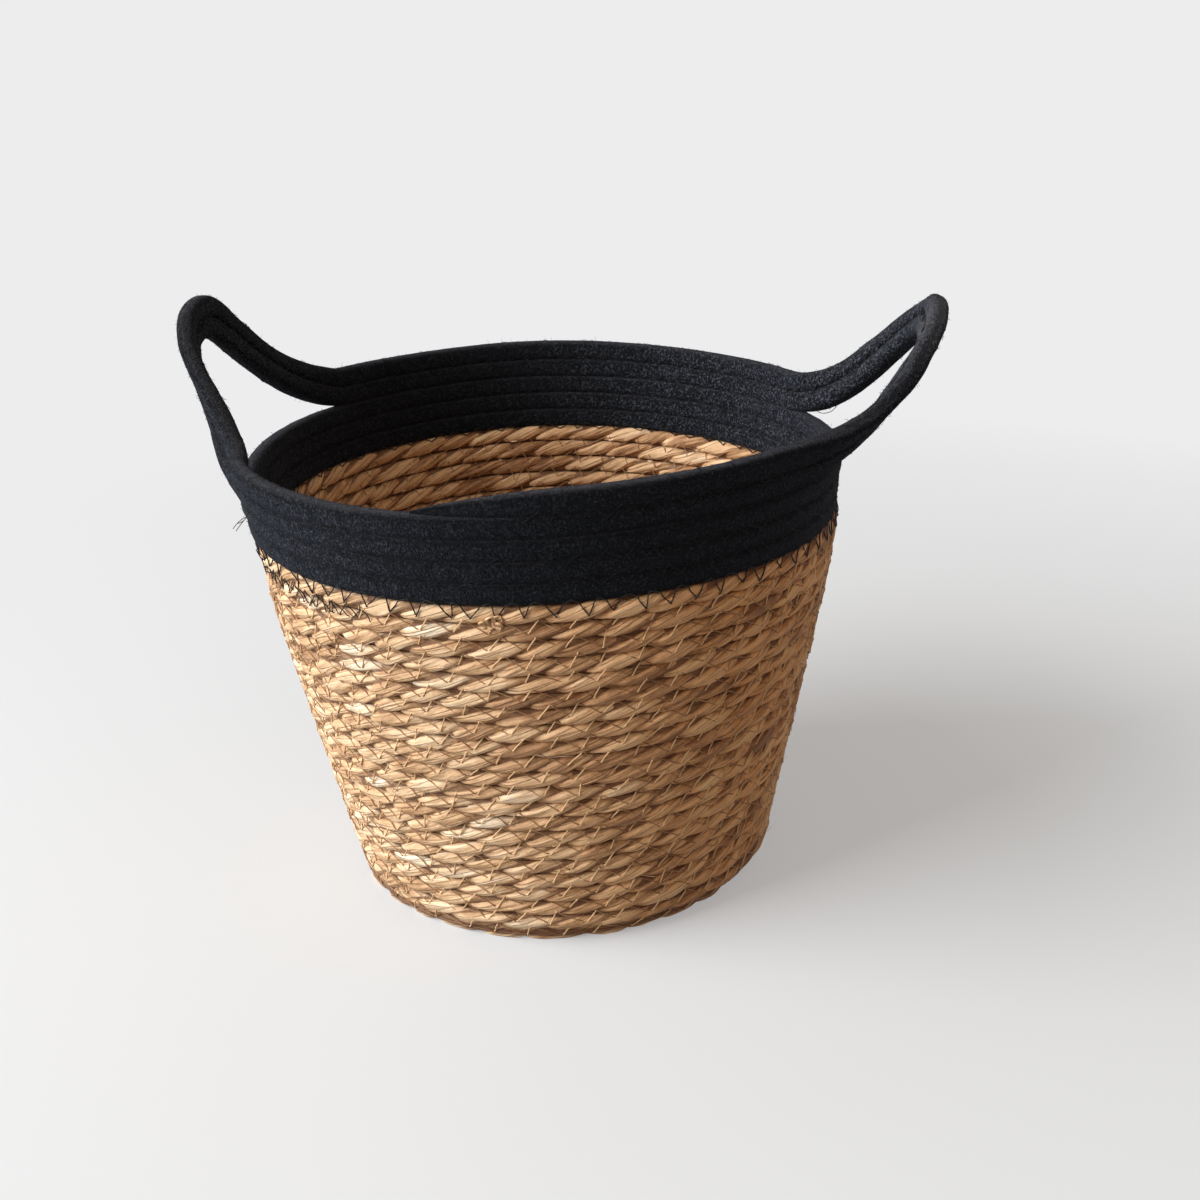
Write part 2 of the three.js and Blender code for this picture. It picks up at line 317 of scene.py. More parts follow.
    def rolling_row(self, share: Array) -> tuple[Array, Array, Array]:
        """The first row of the wall, which rolls from beside the base to on top of it.

        Args:
            share: Shares of the row's turn.

        Returns:
            The length up the wall, the offset out of it and the roll in radians at each.
        """
        wall_angle = np.pi / 2 - self.profile(np.zeros(1))[2][0]
        roll = wall_angle * share
        reach = self.straw_pitch + self.slack(share)
        across = self.straw_pitch * (share - 1) + reach * np.cos(roll)
        rise = reach * np.sin(roll)
        length = across * np.cos(wall_angle) + rise * np.sin(wall_angle)
        return length, across * np.sin(wall_angle) - rise * np.cos(wall_angle), roll

    def straw(self, turns: Array) -> Stations:
        """The seagrass rope, which is the base first and then the wall.

        Args:
            turns: Places along the rope.

        Returns:
            One station for each.
        """
        turns = np.asarray(turns, float)
        angle = self.angle_at(turns)
        away = self.away(angle)
        wall_turns = np.maximum(turns - self.base_rows, 0)
        row = np.floor(wall_turns)
        share = wall_turns - row
        length, offset, roll = self.rolling_row(share)
        climb = np.where(row > 0, row * self.straw_pitch + self.corner_slack - self.slack(share), 0)
        wall = self.on_wall(angle, length + climb, offset * self.settle_share**row)
        rolling = (row == 0)[..., None]
        cos, sin = np.cos(roll)[..., None], np.sin(roll)[..., None]
        stack = np.where(rolling, away * cos + UP * sin, wall.stack)
        out = np.where(rolling, away * sin - UP * cos, wall.out)
        flat = (turns < self.base_rows)[..., None]
        radius = self.base_radius - self.straw_pitch * (self.base_rows - turns)
        centre = away * radius[..., None] + UP * self.base_height + self.axis
        return Stations(
            np.where(flat, centre, wall.centre),
            np.where(flat, away, stack),
            np.where(flat, -UP, out),
        )

    def cotton(self, turns: Array) -> Stations:
        """The cotton rope as if all its rows lay on the wall.

        Args:
            turns: Places along the rope.

        Returns:
            One station for each.
        """
        turns = np.asarray(turns, float)
        row = np.floor(turns)
        share = turns - row
        length, offset, _ = self.rolling_row(share)
        seat = (self.wall_rows - 1) * self.straw_pitch + (self.straw_pitch + self.cotton_pitch) / 2
        climb = row * self.cotton_pitch + (self.cotton_pitch - self.straw_pitch) * share
        climb = climb + self.corner_slack - self.slack(share)
        settled = offset * self.settle_share**self.wall_rows
        return self.on_wall(self.angle_at(turns), seat + length + climb, settled)


SHAPE = CoilShape()


@dataclass
class MeshParts:
    """Swept tubes that are gathered into one mesh, with their pattern places and tones."""

    points: list[Array] = field(default_factory=list)
    faces: list[Array] = field(default_factory=list)
    places: list[Array] = field(default_factory=list)
    tones: list[Array] = field(default_factory=list)
    crease_shades: list[Array] = field(default_factory=list)
    count: int = 0

    def sweep(
        self,
        path: Stations,
        section: Array,
        tone: Array | None = None,
        crease: Array | None = None,
        along: Array | None = None,
        spin: Array | None = None,
    ) -> None:
        """Adds closed tubes of quads.

        Args:
            path: Stations with the shape (tubes, places, 3).
            section: Corners as (across, up), with the shape (tubes, places, sides, 2) and an even
                number of sides.
            tone: A tone for each corner, with the shape (tubes, places, sides).
            crease: How deep in a crease each corner lies, with the same shape; the materials paint
                shade there.
            along: Distance along each tube, with the shape (tubes, places).
            spin: Angle that the pattern turns by round each tube, with the same shape.
        """
        tubes, steps, sides = section.shape[:3]
        points = path.centre[:, :, None] + path.out[:, :, None] * section[..., :1]
        points = points + path.stack[:, :, None] * section[..., 1:]
        if along is None:
            hops = np.linalg.norm(np.diff(path.centre, axis=1), axis=-1)
            along = np.concatenate([np.zeros((tubes, 1)), np.cumsum(hops, axis=1)], axis=1)
        girth = np.linalg.norm(section - np.roll(section, -1, axis=2), axis=-1).sum(-1).mean()
        ring = np.arange(sides)
        grid = self.count + np.arange(tubes * steps * sides).reshape(tubes, steps, sides)
        near, far = grid[:, :-1], grid[:, 1:]
        walls = np.stack([near, far, np.roll(far, -1, 2), np.roll(near, -1, 2)], -1)
        turn = (np.zeros_like(along) if spin is None else spin)[..., None] / CIRCLE
        low, high = (turn + ring / sides) * girth, (turn + (ring + 1) / sides) * girth
        length = along[..., None] + 0 * ring
        before, after = slice(None, -1), slice(1, None)
        corners = ((low, before), (low, after), (high, after), (high, before))
        spots = [value[:, part] for side, part in corners for value in (length, side)]
        self.faces.append(walls.reshape(-1, 4))
        self.places.append(np.stack(spots, -1).reshape(-1, 4, 2))
        for i in range(1, sides - 2, 2):
            first = grid[:, 0][:, [0, i, i + 1, i + 2]]
            last = grid[:, -1][:, [0, i + 2, i + 1, i]]
            self.faces.append(np.concatenate([first, last]))
            self.places.append(np.zeros((2 * tubes, 4, 2)))
        flat = np.zeros((tubes, steps, sides))
        self.points.append(points.reshape(-1, 3))
        self.tones.append((flat if tone is None else tone + flat).ravel())
        self.crease_shades.append((flat if crease is None else crease + flat).ravel())
        self.count += tubes * steps * sides

    def strands(
        self, points: Array, radius: Array | float, sides: int = 4, tone: Array | None = None
    ) -> None:
        """Adds thin round strands.

        Args:
            points: Their lines, with the shape (strands, places, 3).
            radius: Their radius, a number or an array that fits (strands, places).
            sides: Sides of each strand.
            tone: A tone for each strand.
        """
        run = unit(np.gradient(points, axis=1))
        out = unit(np.cross(run, SLANT))
        angle = ring_angles(sides)
        circle = np.stack([np.cos(angle), np.sin(angle)], -1)
        size = np.broadcast_to(np.asarray(radius, float), points.shape[:2])
        section = circle[None, None] * size[..., None, None]
        tones = None if tone is None else np.asarray(tone)[:, None, None]
        self.sweep(Stations(points, np.cross(out, run), out), section, tones)

    def to_object(self, name: str, material: Material) -> Piece:
        """Makes the mesh, in metres, and puts it in the scene.

        Args:
            name: The piece's name.
            material: Its material.

        Returns:
            The new object.
        """
        points = np.concatenate(self.points) * MM
        faces = np.concatenate(self.faces)
        mesh = bpy.data.meshes.new(name)
        mesh.vertices.add(len(points))
        mesh.vertices.foreach_set("co", points.astype(np.float32).ravel())
        mesh.loops.add(faces.size)
        mesh.loops.foreach_set("vertex_index", faces.astype(np.int32).ravel())
        mesh.polygons.add(len(faces))
        mesh.polygons.foreach_set("loop_start", np.arange(0, faces.size, 4, dtype=np.int32))
        mesh.polygons.foreach_set("use_smooth", np.ones(len(faces), bool))
        mesh.update(calc_edges=True)
        layer = mesh.uv_layers.new(name="rope")
        places = np.concatenate(self.places) * MM
        layer.uv.foreach_set("vector", places.astype(np.float32).ravel())
        for label, values in (("tone", self.tones), ("crease", self.crease_shades)):
            attribute = mesh.attributes.new(label, "FLOAT", "POINT")
            attribute.data.foreach_set("value", np.concatenate(values).astype(np.float32))
        mesh.materials.append(material)
        return add_object(name, mesh)


@dataclass(frozen=True)
class NoiseLayer:
    """A layer of soft noise: its look, its pull on the tone, and its stretch along the rope.

    Without a stretch it lies in the basket's own space.
    """

    scale: float
    detail: float
    roughness: float
    stretch: float | None = None
    tone: float = 0.0


class Nodes:
    """Short words for building a material's nodes."""

    def __init__(self, name: str, world: bpy.types.World | None = None) -> None:
        """Starts an empty material with its shader and output, or clears the nodes of a world.

        Args:
            name: The material's name.
            world: The world to fill in its place.
        """
        self.material = world or bpy.data.materials.new(name)
        self.material.use_nodes = True
        self.tree = self.material.node_tree
        self.tree.nodes.clear()
        if world is not None:
            return
        self.shader = self.add("ShaderNodeBsdfPrincipled")
        self.output = self.add("ShaderNodeOutputMaterial")
        self.tree.links.new(self.shader.outputs[0], self.output.inputs[0])

    def add(self, kind: str, inputs: dict | None = None, **settings: object) -> bpy.types.Node:
        """Adds a node.

        Args:
            kind: Its type.
            inputs: Sockets or plain values for its inputs.
            **settings: Its settings.

        Returns:
            The new node.
        """
        node = self.tree.nodes.new(kind)
        for name, value in settings.items():
            setattr(node, name, value)
        self.fill(node, inputs or {})
        return node

    def fill(self, node: bpy.types.Node, inputs: dict) -> None:
        """Links a node's inputs to sockets, or gives them plain values.

        Args:
            node: The node.
            inputs: A socket or a plain value for each input that is named.
        """
        for name, value in inputs.items():
            if isinstance(value, Socket):
                self.tree.links.new(value, node.inputs[name])
            else:
                node.inputs[name].default_value = value

    def finished(self, looks: dict) -> Material:
        """Gives the shader its looks and hands over the material."""
        self.fill(self.shader, looks)
        return self.material

    def rope_places(self, stretch: float) -> Socket:
        """Places along and round the rope, with the length along it scaled."""
        source = self.add("ShaderNodeUVMap", uv_map="rope").outputs[0]
        values = {"Vector": source, "Scale": (stretch, 1.0, 1.0)}
        return self.add("ShaderNodeMapping", values).outputs[0]

    def own_places(self) -> Socket:
        """Places in the basket's own space."""
        return self.add("ShaderNodeTexCoord").outputs["Object"]

    def seen_rays(self) -> Socket:
        """One for rays that show the set: to the camera, off a gloss or through glass."""
        path = self.add("ShaderNodeLightPath").outputs
        gloss = self.maths("MAXIMUM", path["Is Glossy Ray"], path["Is Transmission Ray"])
        return self.maths("MAXIMUM", path["Is Camera Ray"], gloss)

    def along(self, places: Socket, way: tuple[float, float, float]) -> Socket:
        """How far places lie along a direction."""
        values = {0: places, 1: way}
        return self.add("ShaderNodeVectorMath", values, operation="DOT_PRODUCT").outputs["Value"]

    def attribute(self, name: str) -> Socket:
        """A value that the mesh holds."""
        return self.add("ShaderNodeAttribute", attribute_name=name).outputs["Fac"]

    def noise(self, layer: NoiseLayer) -> Socket:
        """A layer of soft noise.

        Args:
            layer: What the noise is like.

        Returns:
            Its values.
        """
        own = layer.stretch is None
        values = {
            "Vector": self.own_places() if own else self.rope_places(layer.stretch),
            "Scale": layer.scale,
            "Detail": layer.detail,
            "Roughness": layer.roughness,
        }
        return self.add("ShaderNodeTexNoise", values).outputs["Fac"]

    def ramp(self, share: Socket, stops: Sequence[tuple]) -> Socket:
        """A colour ramp.

        Args:
            share: Where on the ramp each point lies.
            stops: A place and a colour each.

        Returns:
            The colour.
        """
        node = self.add("ShaderNodeValToRGB", {"Fac": share})
        elements = node.color_ramp.elements
        while len(elements) < len(stops):
            elements.new(0.5)
        for element, (place, tint) in zip(elements, stops):
            element.position = place
            element.color = (*tint, 1)
        return node.outputs["Color"]

    def spread(self, value: Socket, source: tuple, result: tuple) -> Socket:
        """A value moved from one range to another, and kept in it."""
        inputs = {"Value": value, 1: source[0], 2: source[1], 3: result[0], 4: result[1]}
        return self.add("ShaderNodeMapRange", inputs).outputs["Result"]

    def maths(self, operation: str, first: object, second: object) -> Socket:
        """One sum of two values."""
        return self.add("ShaderNodeMath", {0: first, 1: second}, operation=operation).outputs[0]

    def product(self, first: object, second: object) -> Socket:
        """Two values multiplied."""
        return self.maths("MULTIPLY", first, second)

    def mix(self, share: object, first: object, second: object, blend: str = "MIX") -> Socket:
        """Mixes two colours."""
        inputs = {"Factor": share, 6: first, 7: second}
        return self.add("ShaderNodeMix", inputs, data_type="RGBA", blend_type=blend).outputs[2]

    def cover(self, body: Socket, share: Socket, tint: tuple) -> Socket:
        """A colour covered with a share of another one."""
        return self.mix(share, body, (*tint, 1))

    def bump(self, height: Socket, depth: float, under: Socket | None = None) -> Socket:
        """Relief of a depth in millimetres, on top of other relief."""
        node = self.add("ShaderNodeBump", {"Height": height, "Distance": depth * MM})
        self.fill(node, {} if under is None else {"Normal": under})
        return node.outputs[0]


def colour(red: int, green: int, blue: int) -> tuple[float, float, float]:
    """A screen colour of 0 to 255 as the linear one that shaders take."""
    shares = [value / 255 for value in (red, green, blue)]
    return tuple(s / 12.92 if s < 0.04045 else ((s + 0.055) / 1.055) ** 2.4 for s in shares)


@dataclass(frozen=True)
class SeagrassFinish:
    """Twisted dried seagrass: blades in straw and brown tones with fibres along them, with painted
    shade in the creases and a warm painted shade inside and on the side away from the window.
    """

    dark: tuple = colour(142, 94, 54)
    middle: tuple = colour(216, 176, 133)
    light: tuple = colour(240, 209, 171)
    # A warm tint that paints shade inside the basket and on the side away from the window
    shade_side: tuple = (1.0, 0.75, 0.52)
    honey: tuple = colour(232, 178, 118)
    pale: tuple = colour(247, 230, 203)
    # The colour of the painted shade in creases, also used for dull blades on the shade side
    crease: tuple = colour(88, 48, 24)
    blade_width: float = 3.4
    blade_stretch: float = 0.05
    line_width_share: float = 0.09
    line_strength: float = 0.4
    crease_strength: float = 0.95
    dull_strength: float = 0.5
    bright_strength: float = 0.45
    streaks: NoiseLayer = NoiseLayer(1 / (0.9 * MM), 4, 0.6, 0.03, 0.08)
    crinkles: NoiseLayer = NoiseLayer(520, 3, 0.6, 0.4, 0.09)
    patches: NoiseLayer = NoiseLayer(1 / (5.44 * MM), 2, 0.5, 0.05, 0.12)
    clouds: NoiseLayer = NoiseLayer(55, 3, 0.55, tone=0.08)
    specks: NoiseLayer = NoiseLayer(700, 2, 0.5, tone=0.04)
    streak_depth: float = 0.3
    crinkle_depth: float = 0.7
    line_depth: float = 0.35

    def material(self) -> Material:
        """Builds the material.

        Returns:
            The material.
        """
        nodes = Nodes("seagrass")
        places = {"Vector": nodes.rope_places(self.blade_stretch)}
        places["Scale"] = 1 / (self.blade_width * MM)
        edges = nodes.add("ShaderNodeTexVoronoi", places, feature="DISTANCE_TO_EDGE")
        lines = nodes.spread(edges.outputs["Distance"], (0, self.line_width_share), (0, 1))
        layers = (self.crinkles, self.patches, self.clouds, self.streaks, self.specks)
        noises = [nodes.noise(layer) for layer in layers]
        crinkles, streaks = noises[0], noises[3]
        tone = nodes.attribute("tone")
        for layer, noise in zip(layers, noises):
            change = nodes.spread(noise, NOISE_MIDDLE, (-layer.tone, layer.tone))
            tone = nodes.maths("ADD", tone, change)
        stops = ((0.0, self.dark), (0.42, self.middle), (0.72, self.light), (1.0, self.pale))
        body = nodes.ramp(tone, stops)
        body = nodes.cover(body, nodes.spread(lines, (0, 1), (self.line_strength, 0)), self.dark)
        # Painted shade: darker and browner deep in the creases between plies and rows
        depth = nodes.spread(nodes.attribute("crease"), (0.15, 0.95), (0, self.crease_strength))
        body = nodes.cover(body, depth, self.crease)
        # Painted shade: a warm multiply inside and on the side away from the window; there it also
        # darkens dull blades and lightens bright ones with honey
        shade_side = self.shade_side_share(nodes)
        body = nodes.mix(shade_side, body, (*self.shade_side, 1), "MULTIPLY")
        dull = nodes.spread(tone, (0.42, 0.2), (0, self.dull_strength))
        body = nodes.cover(body, nodes.product(shade_side, dull), self.crease)
        bright = nodes.spread(tone, (0.5, 0.75), (0, self.bright_strength))
        body = nodes.cover(body, nodes.product(shade_side, bright), self.honey)
        relief = nodes.bump(crinkles, self.crinkle_depth, nodes.bump(streaks, self.streak_depth))
        looks = {
            "Base Color": body,
            "Roughness": nodes.spread(streaks, NOISE_MIDDLE, (0.48, 0.68)),
            "Specular IOR Level": 0.4,
            "Normal": nodes.bump(lines, self.line_depth, relief),
        }
        return nodes.finished(looks)

    def shade_side_share(self, nodes: Nodes) -> Socket:
        """How much warm painted shade the grass gets: inside the basket and on the side away from
        the window.

        Args:
            nodes: The material's nodes.

        Returns:
            A share for each point.
        """
        own = nodes.own_places()
        across = nodes.add("ShaderNodeSeparateXYZ", {"Vector": own}).outputs["X"]
        normal = nodes.add("ShaderNodeNewGeometry").outputs["Normal"]
        level = nodes.add("ShaderNodeVectorMath", {0: own, 1: (1, 1, 0)}, operation="MULTIPLY")
        facing = nodes.along(level.outputs[0], normal)
        inside = nodes.spread(facing, (0.02, -0.06), (0, 1))
        inside = nodes.product(inside, nodes.spread(across, (-0.08, 0.1), (0.5, 0.26)))
        outside = nodes.spread(facing, (-0.02, 0.02), (0, 1))
        outside = nodes.product(outside, nodes.spread(across, (-0.03, 0.1), (0, 0.9)))
        return nodes.maths("MAXIMUM", outside, inside)


@dataclass(frozen=True)
class CottonFinish:
    """Dark cotton rope: a soft napped cover, mottled with lint, with painted light that makes the
    mottling stronger on the sides that face the window, painted shade in the seams, and dust where
    it faces up that also paints light on its tops.
    """

    deep: tuple = colour(8, 10, 13)
    # The pale colour of the mottling, which painted light brings out on the sides that face the
    # window
    pale_mottle: tuple = colour(58, 61, 71)
    dust_and_light: tuple = colour(96, 94, 97)
    lint: tuple = colour(112, 114, 122)
    sheen: tuple = colour(150, 160, 185)
    tufts: NoiseLayer = NoiseLayer(1500, 2, 0.6, 0.6)
    clumps: NoiseLayer = NoiseLayer(400, 4, 0.8, 0.6)
    nap: NoiseLayer = NoiseLayer(850, 2, 0.5)
    clouds: NoiseLayer = NoiseLayer(45, 3, 0.6)
    rubbed_and_lit_strength: float = 0.85
    fleck_strength: float = 0.6
    pit_strength: float = 0.75
    crease_strength: float = 0.8
    dust_and_top_light_strength: float = 0.5
    clump_depth: float = 3.0
    tuft_depth: float = 1.6
    nap_depth: float = 0.25

    def material(self) -> Material:
        """Builds the material.

        Returns:
            The material.
        """
        nodes = Nodes("dark_cotton")
        layers = (self.tufts, self.nap, self.clumps, self.clouds)
        tufts, nap, clumps, clouds = (nodes.noise(layer) for layer in layers)
        # Painted light: the pale mottling and the lint flecks show mostly on the sides that face the
        # window
        lit_side = self.lit_side_share(nodes)
        tufty = nodes.spread(tufts, (0.5, 0.66), (0, 0.4))
        share = nodes.maths("ADD", nodes.spread(clumps, (0.47, 0.6), (0, 0.8)), tufty)
        share = nodes.product(share, nodes.spread(clouds, NOISE_MIDDLE, (0.3, 1)))
        body = nodes.mix(nodes.product(share, lit_side), (*self.deep, 1), (*self.pale_mottle, 1))
        # Rubbed and dusted at the crowns, and painted light on the right handle's crown; nap fibres
        # add their own pale tone here
        rubbed_and_lit = nodes.spread(nodes.attribute("tone"), (0, 1), (0, self.rubbed_and_lit_strength))
        rubbed_and_lit = nodes.product(rubbed_and_lit, nodes.spread(nap, (0.35, 0.55), (0.45, 1)))
        body = nodes.cover(body, rubbed_and_lit, self.dust_and_light)
        flecks = nodes.product(nodes.spread(nap, (0.52, 0.68), (0, self.fleck_strength)), lit_side)
        body = nodes.cover(body, flecks, self.lint)
        body = nodes.cover(body, nodes.spread(nap, (0.48, 0.36), (0, self.pit_strength)), self.deep)
        # Painted shade in the seams between rows
        depth = nodes.spread(nodes.attribute("crease"), (0.1, 1), (0, self.crease_strength))
        body = nodes.cover(body, depth, self.deep)
        # Dust on the faces that look up, which also paints light on them as if lit from above
        normal = nodes.add("ShaderNodeNewGeometry").outputs["Normal"]
        facing = nodes.add("ShaderNodeSeparateXYZ", {"Vector": normal}).outputs["Z"]
        dust_and_top_light = nodes.spread(facing, (0.35, 1.0), (0, self.dust_and_top_light_strength))
        dust_and_top_light = nodes.product(dust_and_top_light, nodes.spread(clumps, NOISE_MIDDLE, (0.1, 1)))
        relief = nodes.bump(tufts, self.tuft_depth, nodes.bump(clumps, self.clump_depth))
        looks = {
            "Base Color": nodes.cover(body, dust_and_top_light, self.dust_and_light),
            "Roughness": 0.95,
            "Specular IOR Level": 0.1,
            "Sheen Weight": 0.14,
            "Sheen Roughness": 0.45,
            "Sheen Tint": (*self.sheen, 1),
            "Normal": nodes.bump(nap, self.nap_depth, relief),
        }
        return nodes.finished(looks)

    @staticmethod
    def lit_side_share(nodes: Nodes) -> Socket:
        """Painted light on the rope's pale mottling and lint: most at the left, towards the window,
        and at the right back inside, which faces it; least at the front.

        Args:
            nodes: The material's nodes.

        Returns:
            A share for each point.
        """
        own, shares = nodes.own_places(), []
        left = ((-0.87, -0.5, 0.0), (0.08, 0.14), (0.12, 0.45))
        right_back = ((0.8, 0.6, 0.0), (0.05, 0.15), (0.22, 1))
        for way, source, result in (left, right_back):
            shares.append(nodes.spread(nodes.along(own, way), source, result))
        return nodes.maths("MAXIMUM", *shares)


@dataclass(frozen=True)
class ThreadFinish:
    """Twisted sewing thread, between a shaded and a lit colour."""

    name: str
    shaded: tuple
    lit: tuple
    shine: float = 0.4
    twist_scale: float = 900.0
    twist_depth: float = 0.06

    def material(self) -> Material:
        """Builds the material.

        Returns:
            The material.
        """
        nodes = Nodes(self.name)
        values = {"Vector": nodes.rope_places(1.0), "Scale": self.twist_scale}
        twist = nodes.add("ShaderNodeTexWave", values, bands_direction="DIAGONAL").outputs["Fac"]
        share = nodes.spread(nodes.attribute("tone"), (-1, 1), (0, 1))
        share = nodes.product(share, nodes.spread(twist, (0, 1), (0.75, 1.0)))
        looks = {
            "Base Color": nodes.mix(share, (*self.shaded, 1), (*self.lit, 1)),
            "Roughness": 0.6,
            "Specular IOR Level": self.shine,
            "Normal": nodes.bump(twist, self.twist_depth),
        }
        return nodes.finished(looks)


@dataclass(frozen=True)
class StrawSizes:
    """Sizes of the seagrass rope: its two plies, how they lie, and how unevenly."""

    step: float = 2.0
    samples: int = 16000
    start_turn: float = -0.7
    first_turn: float = 0.45
    start_places: int = 34
    end_gap: float = 0.0004
    lay: float = 43.0
    centre_reach: float = 2.15
    radial_half: float = 2.85
    round_half: float = 3.75
    sides: int = 24
    facets: int = 16
    facet_length: float = 15
    facet_depth: float = 0.075
    fibre_turn: float = 0.6
    row_half: float = 4.6
    face_half: float = 4.9
    heart_across: float = 3.0
    heart_up: float = 4.9
    heart_sides: int = 8
    heart_drift: Drift = (15, 0.09)
    turn_drifts: tuple[Drift, Drift] = ((70, 0.7), (24, 0.45))
    rough_turn_drift: Drift = (17, 0.9)
    rough_spread: float = 26
    swell_drifts: tuple[Drift, Drift] = ((12, 0.17), (45, 0.06))
    reach_drift: Drift = (17, 0.3)
    crease_low: float = 1.2
    crease_high: float = 2.7
    relief_shading_tone: float = 1.3
    pattern_gap: float = 50
    thin_length: float = 14
    thin_share: float = 0.3


class SeagrassRope:
    """The seagrass rope of the base and the wall, with its two twisted plies."""

    wall_marks = (0, 5, 9, 13, 17, SHAPE.wall_rows)

    def __init__(self, finish: Material, sizes: StrawSizes = StrawSizes(), seed: int = 11) -> None:
        """Lays out the rope's stations and the wandering of its twist.

        Args:
            finish: The rope's material.
            sizes: Its sizes.
            seed: The seed of the random values.
        """
        self.finish = finish
        self.sizes = sizes
        self.last_turn = SHAPE.base_rows + SHAPE.wall_rows - sizes.end_gap
        rough = np.linspace(sizes.first_turn, self.last_turn, sizes.samples)
        lengths = SHAPE.straw(rough).lengths()
        self.along = np.linspace(0, lengths[-1], int(lengths[-1] / sizes.step))
        self.turns = np.interp(self.along, lengths, rough)
        self.path = SHAPE.straw(self.turns)
        rng = np.random.default_rng(seed)
        slow, quick = (wander(rng, self.along, *drift) for drift in sizes.turn_drifts)
        facing = SHAPE.angle_at(self.turns) - math.radians(SHAPE.start_angle) + np.pi
        facing = facing % CIRCLE - np.pi
        rough_side = bell(facing, 0, math.radians(sizes.rough_spread))
        drift = slow + quick + wander(rng, self.along, *sizes.rough_turn_drift) * rough_side
        self.phase = -CIRCLE * self.along / sizes.lay + drift

    def surface(self, turns: Array, up: Array, face: Face) -> Array:
        """How far out of the rope's centre its surface lies.

        Args:
            turns: Places along the rope.
            up: Height over the rope's centre, towards the next row.
            face: The face of the wall.

        Returns:
            The signed distance along the stations' way out.
        """
        sizes = self.sizes
        best = sizes.heart_across * np.sqrt(np.maximum(1 - (up / sizes.heart_up) ** 2, 0.05))
        a, b = 1 / sizes.radial_half**2, 1 / sizes.round_half**2
        for ply in (0, 1):
            angle = np.interp(turns, self.turns, self.phase) + np.pi * ply
            cos, sin = np.cos(angle), np.sin(angle)
            rest = up - sizes.centre_reach * sin
            first, last = a * cos**2 + b * sin**2, a * sin**2 + b * cos**2
            cross = (a - b) * cos * sin
            room = (cross * rest) ** 2 - first * (last * rest**2 - 1)
            reach = (-cross * rest + face.value * np.sqrt(np.maximum(room, 0))) / first
            height = face.value * (sizes.centre_reach * cos + reach)
            best = np.where(room > 0, np.maximum(best, height), best)
        return best * face.value

    def place(self, turns: Array, up: Array, lift: Array | float, face: Face) -> Array:
        """Points on a face of the basket.

        Args:
            turns: Places along the rope.
            up: Heights over its centre there, which may run into other rows.
            lift: Height over the surface.
            face: The face of the wall.

        Returns:
            One point for each place.
        """
        rows = np.round(up / SHAPE.straw_pitch)
        turns, up = turns + rows, up - rows * SHAPE.straw_pitch
        depth = self.surface(turns, up, face) + lift * face.value
        return SHAPE.straw(turns).at(depth, up)

    def build_rows(self, name: str, first: float, last: float) -> Piece:
        """Builds both plies of some rows.

        Args:
            name: The piece's name.
            first: Turns at which the rows begin.
            last: Turns at which they end.

        Returns:
            The piece.
        """
        low, high = np.searchsorted(self.turns, [first, last])
        high = min(high + 1, len(self.turns))
        parts = MeshParts()
        path, along, phase = self.path.part(low, high), self.along[low:high], self.phase[low:high]
        self.add_plies(parts, path, along, phase, int(first * 10))
        return self.finished(parts, name)

    def build_start(self) -> Piece:
        """Builds the rope's first bend, which fills the middle of the base.

        Returns:
            The piece.
        """
        start, first = self.sizes.start_turn, self.sizes.first_turn
        path = SHAPE.straw(np.linspace(start, first + 0.01, self.sizes.start_places))
        along = path.lengths()
        phase = self.phase[0] + CIRCLE * (along[-1] - along) / self.sizes.lay
        parts = MeshParts()
        self.add_plies(parts, path, along, phase, 77)
        return self.finished(parts, "seagrass_base_start")

    def add_plies(
        self, parts: MeshParts, path: Stations, along: Array, turn: Array, seed: int
    ) -> None:
        """Adds both plies of a stretch of rope.

        Args:
            parts: Takes the faces.
            path: The stretch's stations.
            along: Their distances along the rope.
            turn: The first ply's angle at each.
            seed: The seed of the random values.
        """
        sizes = self.sizes
        for ply in (0, 1):
            rng = np.random.default_rng(1000 * ply + seed)
            phase = turn + np.pi * ply
            small, large = (wander(rng, along, *drift) for drift in sizes.swell_drifts)
            swell = 1 + small + large
            reach = (sizes.centre_reach + wander(rng, along, *sizes.reach_drift))[:, None]
            angle = np.pi + ring_angles(sizes.sides)
            spin = phase * sizes.fibre_turn
            relief = self.blade_relief(rng, along, angle + spin[:, None])
            radial = (sizes.radial_half * swell)[:, None] * np.cos(angle) * relief
            level = (sizes.round_half * swell)[:, None] * np.sin(angle) * relief
            cos, sin = np.cos(phase)[:, None], np.sin(phase)[:, None]
            across = (reach + radial) * cos - level * sin
            up = self.pressed((reach + radial) * sin + level * cos, sizes.row_half)
            across = self.pressed(across, sizes.face_half) * self.thinned(along)[:, None]
            leaf = np.floor((phase + np.pi / 2) / np.pi).astype(int)
            # Raised blade facets get a lighter tone and sunken ones a darker one: painted highlight
            # and shade
            tones = self.leaf_tones(rng, leaf)[:, None] + sizes.relief_shading_tone * (relief - 1)
            # How deep each corner lies in the seam between rows, where the material paints shade
            crease = 1 - smooth_step(np.abs(across), sizes.crease_low, sizes.crease_high)
            parts.sweep(
                path.as_tube(),
                np.stack([across, up], -1)[None],
                tones[None],
                crease[None],
                along[None] + sizes.pattern_gap * ply,
                spin[None],
            )

    def thinned(self, along: Array) -> Array:
        """Share of the rope's full thickness, which falls at the end that meets the cotton."""
        end = self.along[-1]
        return 1 - self.sizes.thin_share * smooth_step(along, end - self.sizes.thin_length, end)

